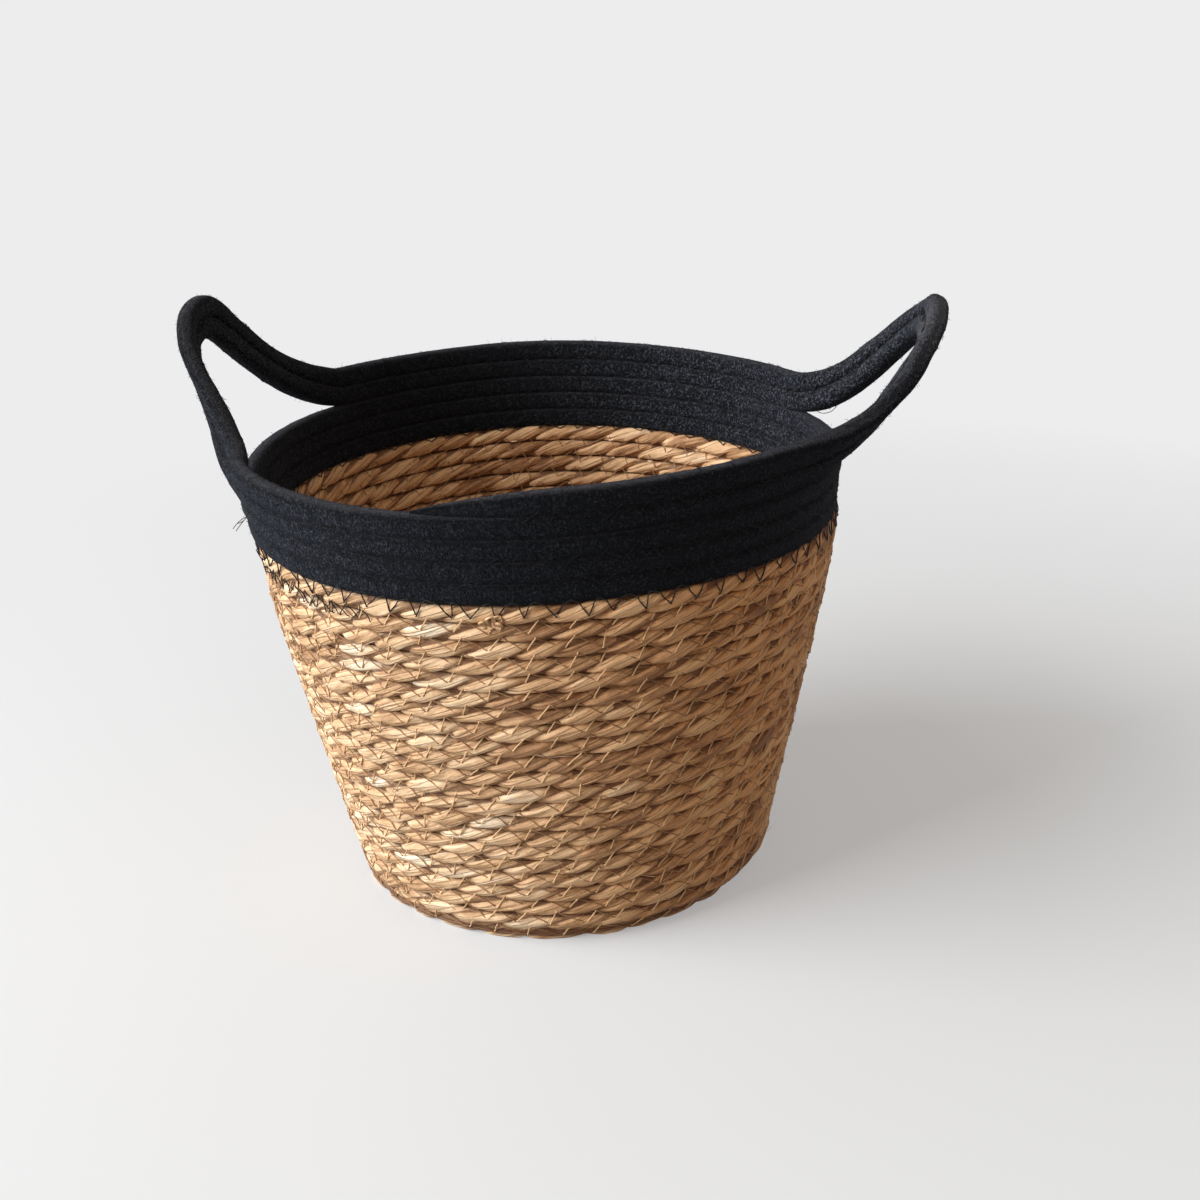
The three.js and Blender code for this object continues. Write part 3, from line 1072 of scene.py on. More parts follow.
    def build_heart(self) -> Piece:
        """Builds the inner blades, which fill the rope behind its plies and close the rows.

        Returns:
            The piece.
        """
        sizes = self.sizes
        path, along = self.path.every(2), self.along[::2]
        angle = ring_angles(sizes.heart_sides)
        swell = 1 + wander(np.random.default_rng(3), along, *sizes.heart_drift)[:, None]
        across = sizes.heart_across * np.cos(angle) * swell * self.thinned(along)[:, None]
        up = sizes.heart_up * np.sin(angle) + 0 * swell
        # The inner blades get a lower tone and much painted crease shade, as they lie between the
        # rows
        tone, crease = np.full((1, 1, 1), 0.3), np.full((1, 1, 1), 0.7)
        parts = MeshParts()
        parts.sweep(path.as_tube(), np.stack([across, up], -1)[None], tone, crease)
        return self.finished(parts, "seagrass_inner_blades")

    def finished(self, parts: MeshParts, name: str) -> Piece:
        """Makes a piece of rope that rests on the floor and rides on the bowl.

        Args:
            parts: The piece's faces.
            name: Its name.

        Returns:
            The piece.
        """
        for points in parts.points:
            points[:, 2] = np.maximum(points[:, 2], 0)
        made = parts.to_object(name, self.finish)
        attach(made, "bowl")
        return made

    def blade_relief(self, rng: np.random.Generator, along: Array, angle: Array) -> Array:
        """Share of its plain size that a ply has, with flat facets for its grass blades.

        Args:
            rng: The source of the random values.
            along: Distances along the rope.
            angle: Angle in the pattern of each corner of each station.

        Returns:
            One share for each corner.
        """
        facets = self.sizes.facets
        spot = (along - along[0]) / self.sizes.facet_length
        whole = np.floor(spot).astype(int)
        knots = rng.normal(0, self.sizes.facet_depth, (whole[-1] + 2, facets))
        share = soften((spot - whole)[:, None])
        rows = knots[whole] * (1 - share) + knots[whole + 1] * share
        place = (angle / CIRCLE * facets) % facets
        low = np.minimum(np.floor(place).astype(int), facets - 1)
        rest = place - low
        near = np.take_along_axis(rows, low, 1)
        far = np.take_along_axis(rows, (low + 1) % facets, 1)
        return 1 + near * (1 - rest) + far * rest

    @staticmethod
    def pressed(values: Array, limit: float) -> Array:
        """Values that flatten against a limit on both sides, as rope does where rows meet.

        Args:
            values: Distances from the rope's centre.
            limit: The most that they can be.

        Returns:
            The flattened values.
        """
        soft = 0.8 * limit
        over = np.maximum(np.abs(values) - soft, 0)
        room = limit - soft
        return np.sign(values) * (np.minimum(np.abs(values), soft) + room * np.tanh(over / room))

    @staticmethod
    def leaf_tones(rng: np.random.Generator, leaf: Array) -> Array:
        """Tones of a ply: a few stretches between two crossings are pale, and a few dark.

        Args:
            rng: The source of the random values.
            leaf: The number of the stretch that each station lies in.

        Returns:
            A tone for each station.
        """
        low = leaf.min()
        count = leaf.max() - low + 1
        tones = rng.normal(0.5, 0.11, count)
        kind = rng.uniform(0, 1, count)
        tones = np.where(kind < 0.06, rng.uniform(0.78, 0.95, count), tones)
        tones = np.where(kind > 0.9, rng.uniform(0.16, 0.32, count), tones)
        spread = np.array([1, 2, 3, 2, 1]) / 9
        return np.convolve(np.pad(tones[leaf - low], 2, "edge"), spread, "valid")

    def build(self) -> list[Piece]:
        """Builds the base and the wall in pieces.

        Returns:
            The pieces.
        """
        base_end = SHAPE.base_rows
        base = self.build_rows("seagrass_base", self.sizes.first_turn, base_end)
        made = [base, self.build_start()]
        for piece in made:
            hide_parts("seagrass_base_coil")
        made.append(self.build_heart())
        for i, (first, last) in enumerate(zip(self.wall_marks, self.wall_marks[1:])):
            piece = self.build_rows(f"seagrass_wall_{i + 1}", base_end + first, base_end + last)
            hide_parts("seagrass_wall_coil")
            made.append(piece)
        return made


@dataclass
class LooseFibres:
    """Loose blades of grass on both faces, bits of pith inside and a knot of curled ends."""

    rope: SeagrassRope
    seed: int = 71
    count: int = 520
    places: int = 8
    first_gap_turns: float = 0.6
    last_gap_turns: float = 1.2
    lengths: tuple[float, float] = (5, 24)
    slope: float = 0.2
    slope_spread: float = 0.45
    start_reach: float = 4
    standing_share: float = 0.16
    standing: tuple[float, float] = (0.6, 2.6)
    lying: tuple[float, float] = (0, 0.35)
    outside_share: float = 0.62
    lift: float = 0.12
    bow: float = 0.8
    radii: tuple[float, float] = (0.09, 0.2)
    pith_count: int = 26
    pith_radius: float = 0.55
    pith_rows: tuple[int, int] = (14, 20)
    pith_angles: tuple[float, float] = (60, 175)
    pith_lengths: tuple[float, float] = (2, 5)
    pith_spread: float = 0.7
    pith_lift: float = 0.1
    curl_count: int = 13
    curl_radius: float = 0.75
    curl_turns: tuple[float, float] = (3.5, 6.5)
    curl_reaches: tuple[float, float] = (1.4, 3.6)
    curl_lift: float = 0.2
    curl_rise: float = 1.3
    knot_angle: float = 270
    knot_drop: float = 3.2
    knot_spread: float = 4.5
    knot_height_spread: float = 0.7

    def build(self) -> Piece:
        """Builds the loose fibres.

        Returns:
            The piece.
        """
        rng, parts = np.random.default_rng(self.seed), MeshParts()
        self.add_blades(parts, rng)
        self.add_pith(parts, rng)
        self.add_knot(parts, rng)
        return self.rope.finished(parts, "seagrass_loose_fibres")

    def add_blades(self, parts: MeshParts, rng: np.random.Generator) -> None:
        """Adds the blades that lie on the rows or stand off them.

        Args:
            parts: Takes the faces.
            rng: The source of the random values.
        """
        count = self.count
        first = SHAPE.base_rows + self.first_gap_turns
        turns = rng.uniform(first, self.rope.last_turn - self.last_gap_turns, count)[:, None]
        length = rng.uniform(*self.lengths, count)[:, None]
        slope = rng.normal(self.slope, self.slope_spread, count)[:, None]
        standing = rng.uniform(0, 1, count) < self.standing_share
        tall, low = rng.uniform(*self.standing, count), rng.uniform(*self.lying, count)
        stand = np.where(standing, tall, low)[:, None]
        share = np.linspace(0, 1, self.places)[None]
        start = rng.uniform(-self.start_reach, self.start_reach, count)[:, None]
        way = np.sign(rng.uniform(-1, 1, count))[:, None]
        steps = turns + way * share * length * (1 / SHAPE.girth)
        up = start + slope * length * share * 0.5 + self.bow * np.sin(3 * share) * way
        lift = self.lift + stand * share**2
        for face in Face:
            mine = (rng.uniform(0, 1, count) < self.outside_share) == (face is Face.OUTSIDE)
            lines = self.rope.place(steps, up, lift, face)[mine]
            radius = rng.uniform(*self.radii, (count, 1))[mine] * (1 - 0.6 * share)
            parts.strands(lines, radius, 4, rng.uniform(0.35, 1.0, count)[mine])

    def add_pith(self, parts: MeshParts, rng: np.random.Generator) -> None:
        """Adds bits of near white pith that show between the rows inside.

        Args:
            parts: Takes the faces.
            rng: The source of the random values.
        """
        count = self.pith_count
        rows = SHAPE.base_rows + rng.integers(*self.pith_rows, count)
        turns = rows + SHAPE.turns_at(rng.uniform(*self.pith_angles, count))
        share = np.linspace(0, 1, 4)[None]
        steps = turns[:, None] + share * rng.uniform(*self.pith_lengths, (count, 1)) / SHAPE.girth
        up = SHAPE.straw_pitch / 2 + rng.normal(0, self.pith_spread, (count, 1)) + 0 * share
        lines = self.rope.place(steps, up, self.pith_lift, Face.INSIDE)
        radius = self.pith_radius * np.sin(np.pi * (0.15 + 0.7 * share))
        parts.strands(lines, radius, 6, np.full(count, 1.6))

    def add_knot(self, parts: MeshParts, rng: np.random.Generator) -> None:
        """Adds the curled ends of grass that stand out of one row at the front.

        Args:
            parts: Takes the faces.
            rng: The source of the random values.
        """
        turns = SHAPE.last_straw_row + SHAPE.turns_at(self.knot_angle) + 1 - 0.002
        share = np.linspace(0, 1, 12)
        radius = self.curl_radius * np.sin(np.pi * (0.12 + 0.8 * share))
        for _ in range(self.curl_count):
            curl = rng.uniform(*self.curl_turns) * share + rng.uniform(0, 6)
            size = rng.uniform(*self.curl_reaches) * (0.4 + 0.6 * share)
            along = rng.normal(0, self.knot_spread) + size * np.cos(curl)
            up = -self.knot_drop + rng.normal(0, self.knot_height_spread) + size * np.sin(curl)
            rise = self.curl_rise * np.sin(np.pi * share) * rng.uniform(0.4, 1.0)
            lift = self.curl_lift + rise
            line = self.rope.place(turns + along / SHAPE.girth, up, lift, Face.OUTSIDE)
            parts.strands(line[None], radius[None], 6, rng.uniform(0.3, 0.8, 1))


@dataclass(frozen=True)
class HandleShape:
    """Sizes of one handle, as in the model.

    The turns of its ropes about the lower one, in degrees, and their pushes outwards are evenly
    spaced from a foot to the crown.
    """

    side: Handle
    half_span: float
    rise: float
    crown_reach: float
    foot_reaches: tuple[float, float]
    crown_offset: float
    lean: float
    lift: float
    twist: float
    near_turns: tuple[float, ...]
    far_turns: tuple[float, ...]
    near_push: tuple[float, ...]
    far_push: tuple[float, ...]
    # How much the crown is rubbed and dusted, which on the right handle also paints light, and where
    # along the handle
    rubbed_and_lit: float
    rubbed_and_lit_place: float

    @property
    def body(self) -> str:
        """The name of the handle's body, which also starts the names of its ropes."""
        return f"{self.side.name.lower()}_handle"

    def settle(
        self, leg: Array, stack: Array, run: Array, out: Array, near: bool
    ) -> tuple[Array, Array]:
        """Turns and pushes a leg's two ropes to the way that they hang.

        Args:
            leg: Centres of the lower rope, from the foot to the crown.
            stack: Directions from the lower rope to the upper one.
            run: Directions along the rope there.
            out: The level way out of the basket at the handle.
            near: Whether it is the leg at the front.

        Returns:
            The lower rope's centres and the directions to the upper one.
        """
        turns = self.near_turns if near else self.far_turns
        push = self.near_push if near else self.far_push
        share = np.linspace(0, 1, len(leg))
        angle = np.radians(np.interp(share, np.linspace(0, 1, len(turns)), turns))[:, None]
        turned = stack * np.cos(angle) + np.cross(run, stack) * np.sin(angle)
        push = np.interp(share, np.linspace(0, 1, len(push)), push)[:, None]
        return leg + out * push, turned

    def feet_turns(self) -> tuple[float, float]:
        """Turns at the first foot and at the second one, for the lower rope."""
        middle = 180 if self.side is Handle.LEFT else 0
        first, second = middle + self.half_span, middle - self.half_span
        return SHAPE.turns_at(first) + SHAPE.band_rows, SHAPE.turns_at(second) + SHAPE.band_rows


LEFT = HandleShape(
    side=Handle.LEFT,
    half_span=28,
    rise=74.3,
    crown_reach=20.6,
    foot_reaches=(44.8, 44.8),
    crown_offset=7.5,
    lean=38.8,
    lift=19.1,
    twist=30.6,
    near_turns=(0, 16, 7, -2, 3, 8, 8),
    far_turns=(0, -24, -34, -30, -22, 0, 8),
    near_push=(0.3, 0.2, -2.4, -1.6, 2.4, 2.4, -1.4),
    far_push=(0, 0.4, 0.0, 0.0, -1.4),
    rubbed_and_lit=0.1,
    rubbed_and_lit_place=0.5,
)
RIGHT = HandleShape(
    side=Handle.RIGHT,
    half_span=33,
    rise=81.9,
    crown_reach=53.4,
    foot_reaches=(52, 66.4),
    crown_offset=-13,
    lean=50.7,
    lift=8.4,
    twist=18,
    near_turns=(0, -24, -29, -16, 1, 10, 12),
    far_turns=(0, -14, -26, -8, 12, 6, 12),
    near_push=(0.4, 1.2, 1.2, 0.2, 0.4, 2.5, 1.4),
    far_push=(0, 0.2, -0.2, -0.2, 0.8, 2.0, 1.4),
    rubbed_and_lit=0.8,
    rubbed_and_lit_place=0.56,
)
HANDLES = (LEFT, RIGHT)


@dataclass(frozen=True)
class HandlePlan:
    """Where a handle stands: its feet, the line between them, its lean and its crown."""

    feet: list[tuple[Array, Array, Array]]
    along: Array
    rise: Array
    crown: Array
    stack: Array
    out: Array

    @classmethod
    def of(cls, shape: HandleShape) -> "HandlePlan":
        """Works out a handle's plan.

        Args:
            shape: The handle's sizes.

        Returns:
            The plan, whose feet have a centre, a stack direction and a run each.
        """
        feet = []
        for turns in shape.feet_turns():
            spot = SHAPE.cotton(np.array([turns - 5e-4, turns, turns + 5e-4]))
            feet.append((spot.centre[1], spot.stack[1], unit(spot.centre[2] - spot.centre[0])))
        start, stop = feet[0][0], feet[1][0]
        along = unit(stop - start)
        middle = (start + stop) / 2
        out = (middle - SHAPE.axis) * np.array([1.0, 1.0, 0.0])
        out = unit(out - along * (out @ along))
        up = np.cross(out, along)
        up = up * np.sign(up[2])
        lean, twist = math.radians(shape.lean), math.radians(shape.lean - shape.twist)
        rise = out * math.sin(lean) + up * math.cos(lean)
        crown = middle + rise * shape.rise + along * shape.crown_offset
        return cls(feet, along, rise, crown, out * math.sin(twist) + up * math.cos(twist), out)


@dataclass(frozen=True)
class CottonSizes:
    """Sizes of the cotton rope: its section, its lumps, its end, its nap and its bends."""

    step: float = 1.5
    band_places: int = 3000
    rim_places: int = 400
    leg_places: int = 160
    sides: int = 28
    half_width: float = 4.35
    half_height: float = 5.6
    squareness: float = 0.52
    inner_squareness: float = 0.85
    lumps_round: int = 7
    lump_drift: Drift = (6, 0.045)
    swell_drift: Drift = (30, 0.02)
    lump_height_share: float = 0.3
    crease_low: float = 0.6
    crease_high: float = 3.2
    end_size: float = 0.12
    end_taper: float = 26.0
    end_fullness: float = 0.8
    end_sink: float = 4.55
    twist_share: float = 0.6
    bend_spread: float = 5.0
    bend_start: float = 40
    bend_whole: float = 10
    bend_end: float = 12
    rubbed_and_lit_spread: float = 26
    nap_density: float = 3.5
    nap_most: int = 3800
    nap_radius: float = 0.06
    nap_depth: float = 0.15
    nap_shortest: float = 0.5
    nap_longest: float = 2.5
    nap_mean: float = 0.5
    stray_part: int = 6
    stray_radius: float = 0.095
    stray_lengths: tuple[float, float] = (1.0, 3.4)
    stray_lift: float = 0.16
    stray_rise: float = 0.2
    overlap: float = 34.0
    blend_before: float = 9.0
    blend_after: float = 13.0


class CottonRope:
    """The cotton rope: three rows on the wall, and two that leave the rim as handles."""

    def __init__(self, finish: Material, sizes: CottonSizes = CottonSizes()) -> None:
        """Lays out one path for the whole rope, with marks where its stretches begin.

        Args:
            finish: The rope's material.
            sizes: Its sizes.
        """
        self.finish = finish
        self.sizes = sizes
        stretches = self.stretches()
        whole = list(stretches.values())
        centre = np.concatenate([s.centre[(i > 0) :] for i, s in enumerate(whole)])
        stack = np.concatenate([s.stack[(i > 0) :] for i, s in enumerate(whole)])
        lengths = Stations(centre, stack, stack).lengths()
        self.along = np.linspace(0, lengths[-1], int(lengths[-1] / sizes.step))
        ends = np.cumsum([0] + [len(s.centre) - (i > 0) for i, s in enumerate(whole)])
        self.marks = {
            name: (lengths[max(ends[i] - 1, 0)], lengths[ends[i + 1] - 1])
            for i, name in enumerate(stretches)
        }
        centre = self.eased(self.read(self.along, lengths, centre))
        stack = self.eased(self.read(self.along, lengths, stack))
        run = unit(np.gradient(centre, axis=0))
        stack = square_to(stack, run)
        self.path = Stations(centre, stack, np.cross(stack, run))

    def stretches(self) -> dict[str, Stations]:
        """The rope's stretches in order, from its start on the wall to its end on the rim.

        Returns:
            The stations of each, under its name.
        """
        band, places = SHAPE.band_rows, self.sizes.rim_places
        near, far = LEFT.feet_turns()
        right_first, right_last = RIGHT.feet_turns()
        made = {"band": SHAPE.cotton(np.linspace(0, band, self.sizes.band_places))}
        end = SHAPE.turns_at(SHAPE.rope_end_angle) + band + 1
        for row, level, stop in ((0, "lower", near + 1), (1, "upper", end)):
            back = np.linspace(far + row, right_first + row, places)
            made[f"left_handle_{level}"] = self.handle(LEFT, row)
            made[f"rim_back_{level}"] = SHAPE.cotton(back)
            made[f"right_handle_{level}"] = self.handle(RIGHT, row)
            front = np.linspace(right_last + row, stop, places)
            made[f"rim_front_{level}"] = SHAPE.cotton(front)
        return made

    @staticmethod
    def read(along: Array, lengths: Array, values: Array) -> Array:
        """Vectors at distances along a path, between those at its own lengths."""
        return np.stack([np.interp(along, lengths, values[:, k]) for k in range(3)], -1)

    def eased(self, values: Array) -> Array:
        """Vectors smoothed along the rope, but for the rows that stay on the wall.

        Args:
            values: One vector for each station.

        Returns:
            The smoothed vectors.
        """
        sizes = self.sizes
        sigma = sizes.bend_spread / sizes.step
        reach = int(4 * sigma)
        weights = np.exp(-0.5 * (np.arange(-reach, reach + 1) / sigma) ** 2)
        weights /= weights.sum()
        before, after = np.repeat(values[:1], reach, 0), np.repeat(values[-1:], reach, 0)
        padded = np.concatenate([before, values, after])
        soft = np.stack([np.convolve(padded[:, k], weights, "valid") for k in range(3)], -1)
        start, left = self.marks["band"][1], self.along[-1] - self.along
        share = smooth_step(self.along, start - sizes.bend_start, start - sizes.bend_whole)
        share = (share * smooth_step(left, 0, sizes.bend_end))[:, None]
        return values * (1 - share) + soft * share

    def handle(self, shape: HandleShape, row: int) -> Stations:
        """One rope of a handle, from its first foot to its second one.

        Args:
            shape: The handle's sizes.
            row: 0 for the lower rope and 1 for the upper one.

        Returns:
            Its stations, whose ways out aren't worked out yet.
        """
        plan = HandlePlan.of(shape)
        lift = math.radians(shape.lift)
        s = np.linspace(0, 1, self.sizes.leg_places)[:, None]
        share = smooth_step(s, 0, self.sizes.twist_share)
        centres, stacks = [], []
        for (foot, foot_stack, run), reach, sign in zip(plan.feet, shape.foot_reaches, (1, -1)):
            leave = run * sign * math.cos(lift) + plan.rise * math.sin(lift)
            inner = plan.crown - plan.along * sign * shape.crown_reach
            leg = foot * (1 - s) ** 3 + 3 * (foot + leave * reach) * s * (1 - s) ** 2
            leg = leg + 3 * inner * s**2 * (1 - s) + plan.crown * s**3
            way = unit(np.gradient(leg, axis=0))
            stack = square_to(foot_stack * (1 - share) + plan.stack * share, way)
            leg, stack = shape.settle(leg, stack, way * sign, plan.out, leg[0, 1] < 0)
            if sign < 0:
                leg, stack = leg[::-1][1:], stack[::-1][1:]
            centres.append(leg)
            stacks.append(stack)
        centre = np.concatenate(centres)
        stack = square_to(np.concatenate(stacks), unit(np.gradient(centre, axis=0)))
        return Stations(centre + stack * row * SHAPE.cotton_pitch, stack, stack)

    def section(self, along: Array, rng: np.random.Generator) -> Array:
        """The rope's section: nearly round, flat where rows meet, and lumpy.

        Args:
            along: Distances along the rope.
            rng: The source of the random values.

        Returns:
            The corners as (across, up) at each distance.
        """
        sizes = self.sizes
        angle = ring_angles(sizes.sides)
        cos, sin = np.cos(angle), np.sin(angle)
        squareness = np.where(cos < 0, sizes.inner_squareness, sizes.squareness)
        across = np.sign(cos) * np.abs(cos) ** squareness * sizes.half_width
        up = np.sign(sin) * np.abs(sin) ** sizes.squareness * sizes.half_height
        count = sizes.lumps_round
        lumps = np.stack([wander(rng, along, *sizes.lump_drift) for _ in range(count)], -1)
        spot = np.arange(sizes.sides) / sizes.sides * count
        whole = np.floor(spot).astype(int)
        share = soften(spot - whole)
        relief = 1 + lumps[:, whole % count] * (1 - share) + lumps[:, (whole + 1) % count] * share
        relief = relief + wander(rng, along, *sizes.swell_drift)[:, None]
        size = self.size_at(along)[:, None]
        across = across * (relief * size)
        up = up * (1 + sizes.lump_height_share * (relief - 1)) * size
        return np.stack([across, up - (1 - size) * sizes.end_sink], -1)

    def size_at(self, along: Array) -> Array:
        """Share of the rope's full size, which falls at its end on the rim.

        Args:
            along: Distances along the rope.

        Returns:
            The share at each.
        """
        sizes = self.sizes
        taper = math.radians(sizes.end_taper) * SHAPE.rim_radius
        share = np.clip((self.along[-1] - along) / taper, 0, 1)
        full = np.sin(np.pi / 2 * share) ** sizes.end_fullness
        return sizes.end_size + (1 - sizes.end_size) * full

    def piece(self, name: str, label: str, start: float, stop: float) -> Piece:
        """Builds a stretch of the rope and hides the node's own part in its place.

        Args:
            name: The piece's name.
            label: The node's name.
            start: Distance along the rope where it begins.
            stop: Distance where it ends.

        Returns:
            The piece.
        """
        low, high = np.searchsorted(self.along, [start, stop])
        high = min(high + 1, len(self.along))
        rng = np.random.default_rng(low + 5)
        along, path = self.along[low:high], self.path.part(low, high)
        section = self.section(along, rng)
        depth = np.abs(section[..., 0])
        # How deep each corner lies in the seam between rows, where the material paints shade
        crease = 1 - smooth_step(depth, self.sizes.crease_low, self.sizes.crease_high)
        tone = self.rubbing_and_light(along)[None, :, None]
        parts = MeshParts()
        parts.sweep(path.as_tube(), section[None], tone, crease[None], along[None])
        self.add_nap(parts, path, section, rng)
        made = parts.to_object(name, self.finish)
        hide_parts(label)
        return made

    def rubbing_and_light(self, along: Array) -> Array:
        """How much hands have rubbed and dusted the rope, which is most at the crowns; on the right
        handle's crown it also paints light.

        Args:
            along: Distances along the rope.

        Returns:
            The share at each.
        """
        pale_mottle = np.zeros_like(along)
        for shape in HANDLES:
            for level in ("lower", "upper"):
                first, last = self.marks[f"{shape.body}_{level}"]
                crown = first + (last - first) * shape.rubbed_and_lit_place
                pale_mottle = pale_mottle + shape.rubbed_and_lit * bell(along, crown, self.sizes.rubbed_and_lit_spread)
        return pale_mottle

    def add_nap(
        self, parts: MeshParts, path: Stations, section: Array, rng: np.random.Generator
    ) -> None:
        """Adds short fibres that stand off the rope's cover, and lint that lies on it.

        Args:
            parts: Takes the faces.
            path: The stretch's stations.
            section: Its corners.
            rng: The source of the random values.
        """
        sizes = self.sizes
        places, sides = section.shape[:2]
        count = min(int(places * sizes.step * sizes.nap_density), sizes.nap_most)
        spot, side = rng.integers(1, places - 1, count), rng.integers(0, sides, count)
        corner = section[spot, side]
        centre, out, stack = path.centre[spot], path.out[spot], path.stack[spot]
        root = centre + out * corner[:, :1] + stack * corner[:, 1:]
        away = unit(root - centre)
        run = np.cross(out, stack)
        lean = away * rng.uniform(0.2, 1.0, (count, 1)) + run * rng.normal(0, 0.9, (count, 1))
        lean = unit(lean + stack * rng.normal(0, 0.3, (count, 1)))
        bend = unit(rng.normal(0, 1, (count, 3)))
        length = rng.exponential(sizes.nap_mean, (count, 1)) + sizes.nap_shortest
        length = np.minimum(length, sizes.nap_longest)
        share = np.linspace(0, 1, 3)[None, :, None]
        reach = share * length[:, None]
        lines = root[:, None] - sizes.nap_depth * away[:, None] + lean[:, None] * reach
        lines = lines + bend[:, None] * reach * share * 0.35
        parts.strands(lines, sizes.nap_radius, 4, rng.uniform(0.1, 1.0, count))
        count = count // sizes.stray_part
        root, away, bend = root[:count], away[:count], bend[:count]
        flat = run[:count] * rng.normal(0, 1, (count, 1))
        flat = square_to(unit(flat + stack[:count] * rng.normal(0, 1, (count, 1))), away)
        reach = (share - 0.5) * rng.uniform(*sizes.stray_lengths, (count, 1, 1))
        rise = sizes.stray_lift + sizes.stray_rise * np.sin(np.pi * share)
        lines = root[:, None] + away[:, None] * rise + flat[:, None] * reach
        lines = lines + bend[:, None] * reach**2 * 0.12
        parts.strands(lines, sizes.stray_radius, 4, rng.uniform(1.0, 1.25, count))

    def hold(self, piece: Piece, shape: HandleShape | None) -> None:
        """Lets a piece ride on the bowl, or, for a handle's piece, bakes its place into its mesh.

        Args:
            piece: The piece.
            shape: The handle that it belongs to, if any.
        """
        if shape is None:
            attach(piece, "bowl")
            return
        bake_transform(piece)

    def stations_at(self, along: Array) -> Stations:
        """Stations at distances along the whole rope."""
        path = (self.path.centre, self.path.stack, self.path.out)
        centre, stack, out = (self.read(along, self.along, values) for values in path)
        return Stations(centre, unit(stack), unit(out))

    def build(self) -> list[Piece]:
        """Builds the band, the rim rows and the handles.

        Returns:
            The pieces.
        """
        overlap, last, made = self.sizes.overlap, self.along[-1], []
        for name, (start, stop) in self.marks.items():
            shape = next((each for each in HANDLES if name.startswith(each.body)), None)
            if shape is not None:
                start, stop = start - overlap, stop + overlap
            else:
                start = start + (overlap if name != "band" else 0)
                stop = stop - overlap if stop < last - 1 else last
            label = "cotton_band_coil" if name == "band" else f"{name}_rope"
            piece = self.piece(f"cotton_{name}", label, start, stop)
            self.hold(piece, shape)
            made.append(piece)
        return made


@dataclass
class SeagrassStitches:
    """The tan zigzag that sews each seagrass row to the next, on both faces of the wall."""

    finish: Material
    rope: SeagrassRope
    first_turn: float = 1.6
    last_gap: float = 1.02
    period: float = 16.0
    period_spread: float = 1.3
    drift: Drift = (300, 5)
    rising_run: float = 4.0
    run_spread: float = 1.0
    rising_lift: float = 0.2
    falling_lift: float = 0.08
    reach: float = 3.7
    reach_spread: float = 0.45
    radius: float = 0.33
    places: int = 11

    def legs(self, face: Face) -> tuple[Array, Array]:
        """The legs of the zigzag on one face.

        Args:
            face: The face of the wall.

        Returns:
            Their lines, and a tone for each.
        """
        rope = self.rope
        rng = np.random.default_rng(31 + face.value)
        ends = (self.first_turn, rope.last_turn - self.last_gap)
        start, stop = np.interp(ends, rope.turns, rope.along)
        count = int((stop - start) / self.period)
        spots = start + self.period * np.arange(count) + rng.normal(0, self.period_spread, count)
        spots = spots + wander(rng, spots, *self.drift)
        high = spots - self.rising_run + rng.normal(0, self.run_spread, count)
        lines, tones = [], []
        share = np.linspace(0, 1, self.places)
        for begin, end, way in ((spots[1:], high[1:], 1.0), (high[1:], spots[:-1], -1.0)):
            along = begin[:, None] + (end - begin)[:, None] * share
            turns = np.interp(along, rope.along, rope.turns)
            reach = self.reach + rng.normal(0, self.reach_spread, len(begin))[:, None]
            lift = self.rising_lift if way > 0 else self.falling_lift
            lines.append(taut_line(turns, way * (2 * share - 1) * reach, face, lift, rope))
            # Rising legs outside get the thread's painted lit colour, the others its painted shaded
            # colour
            low, top = (0.4, 1.0) if way > 0 and face is Face.OUTSIDE else (-1.0, -0.3)
            tones.append(rng.uniform(low, top, len(begin)))
        return np.concatenate(lines), np.concatenate(tones)

    def build(self) -> list[Piece]:
        """Builds the stitches of both faces, the rising legs apart from the falling ones.

        Returns:
            The pieces.
        """
        made = []
        for face in Face:
            lines, tones = self.legs(face)
            lines[..., 2] = np.maximum(lines[..., 2], self.radius)
            radius = np.where(tones > 0, 1.15, 0.8)[:, None] * self.radius
            halves = np.array_split(np.arange(len(lines)), 2)
            for way, legs in zip(("rising", "falling"), halves):
                parts = MeshParts()
                parts.strands(lines[legs], radius[legs], 6, tones[legs])
                name = f"tan_stitches_{face.name.lower()}_{way}"
                piece = parts.to_object(name, self.finish)
                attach(piece, "bowl")
                made.append(piece)
        return made


def stretched(points: Array, out: Array, slack: float) -> Array:
    """Threads pulled straight between their ends, but for what stands in their way.

    Args:
        points: Lines that follow the surface, with the shape (threads, places, 3).
        out: Directions off the surface, with the same shape.
        slack: How far a thread may sink below its straight line.

    Returns:
        The lines of the threads.
    """
    share = np.linspace(0, 1, points.shape[1])[None, :, None]
    straight = points[:, :1] * (1 - share) + points[:, -1:] * share
    rest = points - straight
    height = (rest * out).sum(-1, keepdims=True)
    flat = rest - out * height
    eased = np.maximum(height, -slack)
    eased[:, 1:-1] = np.maximum(eased[:, 1:-1], (eased[:, :-2] + eased[:, 2:]) / 2)
    return straight + flat + out * eased


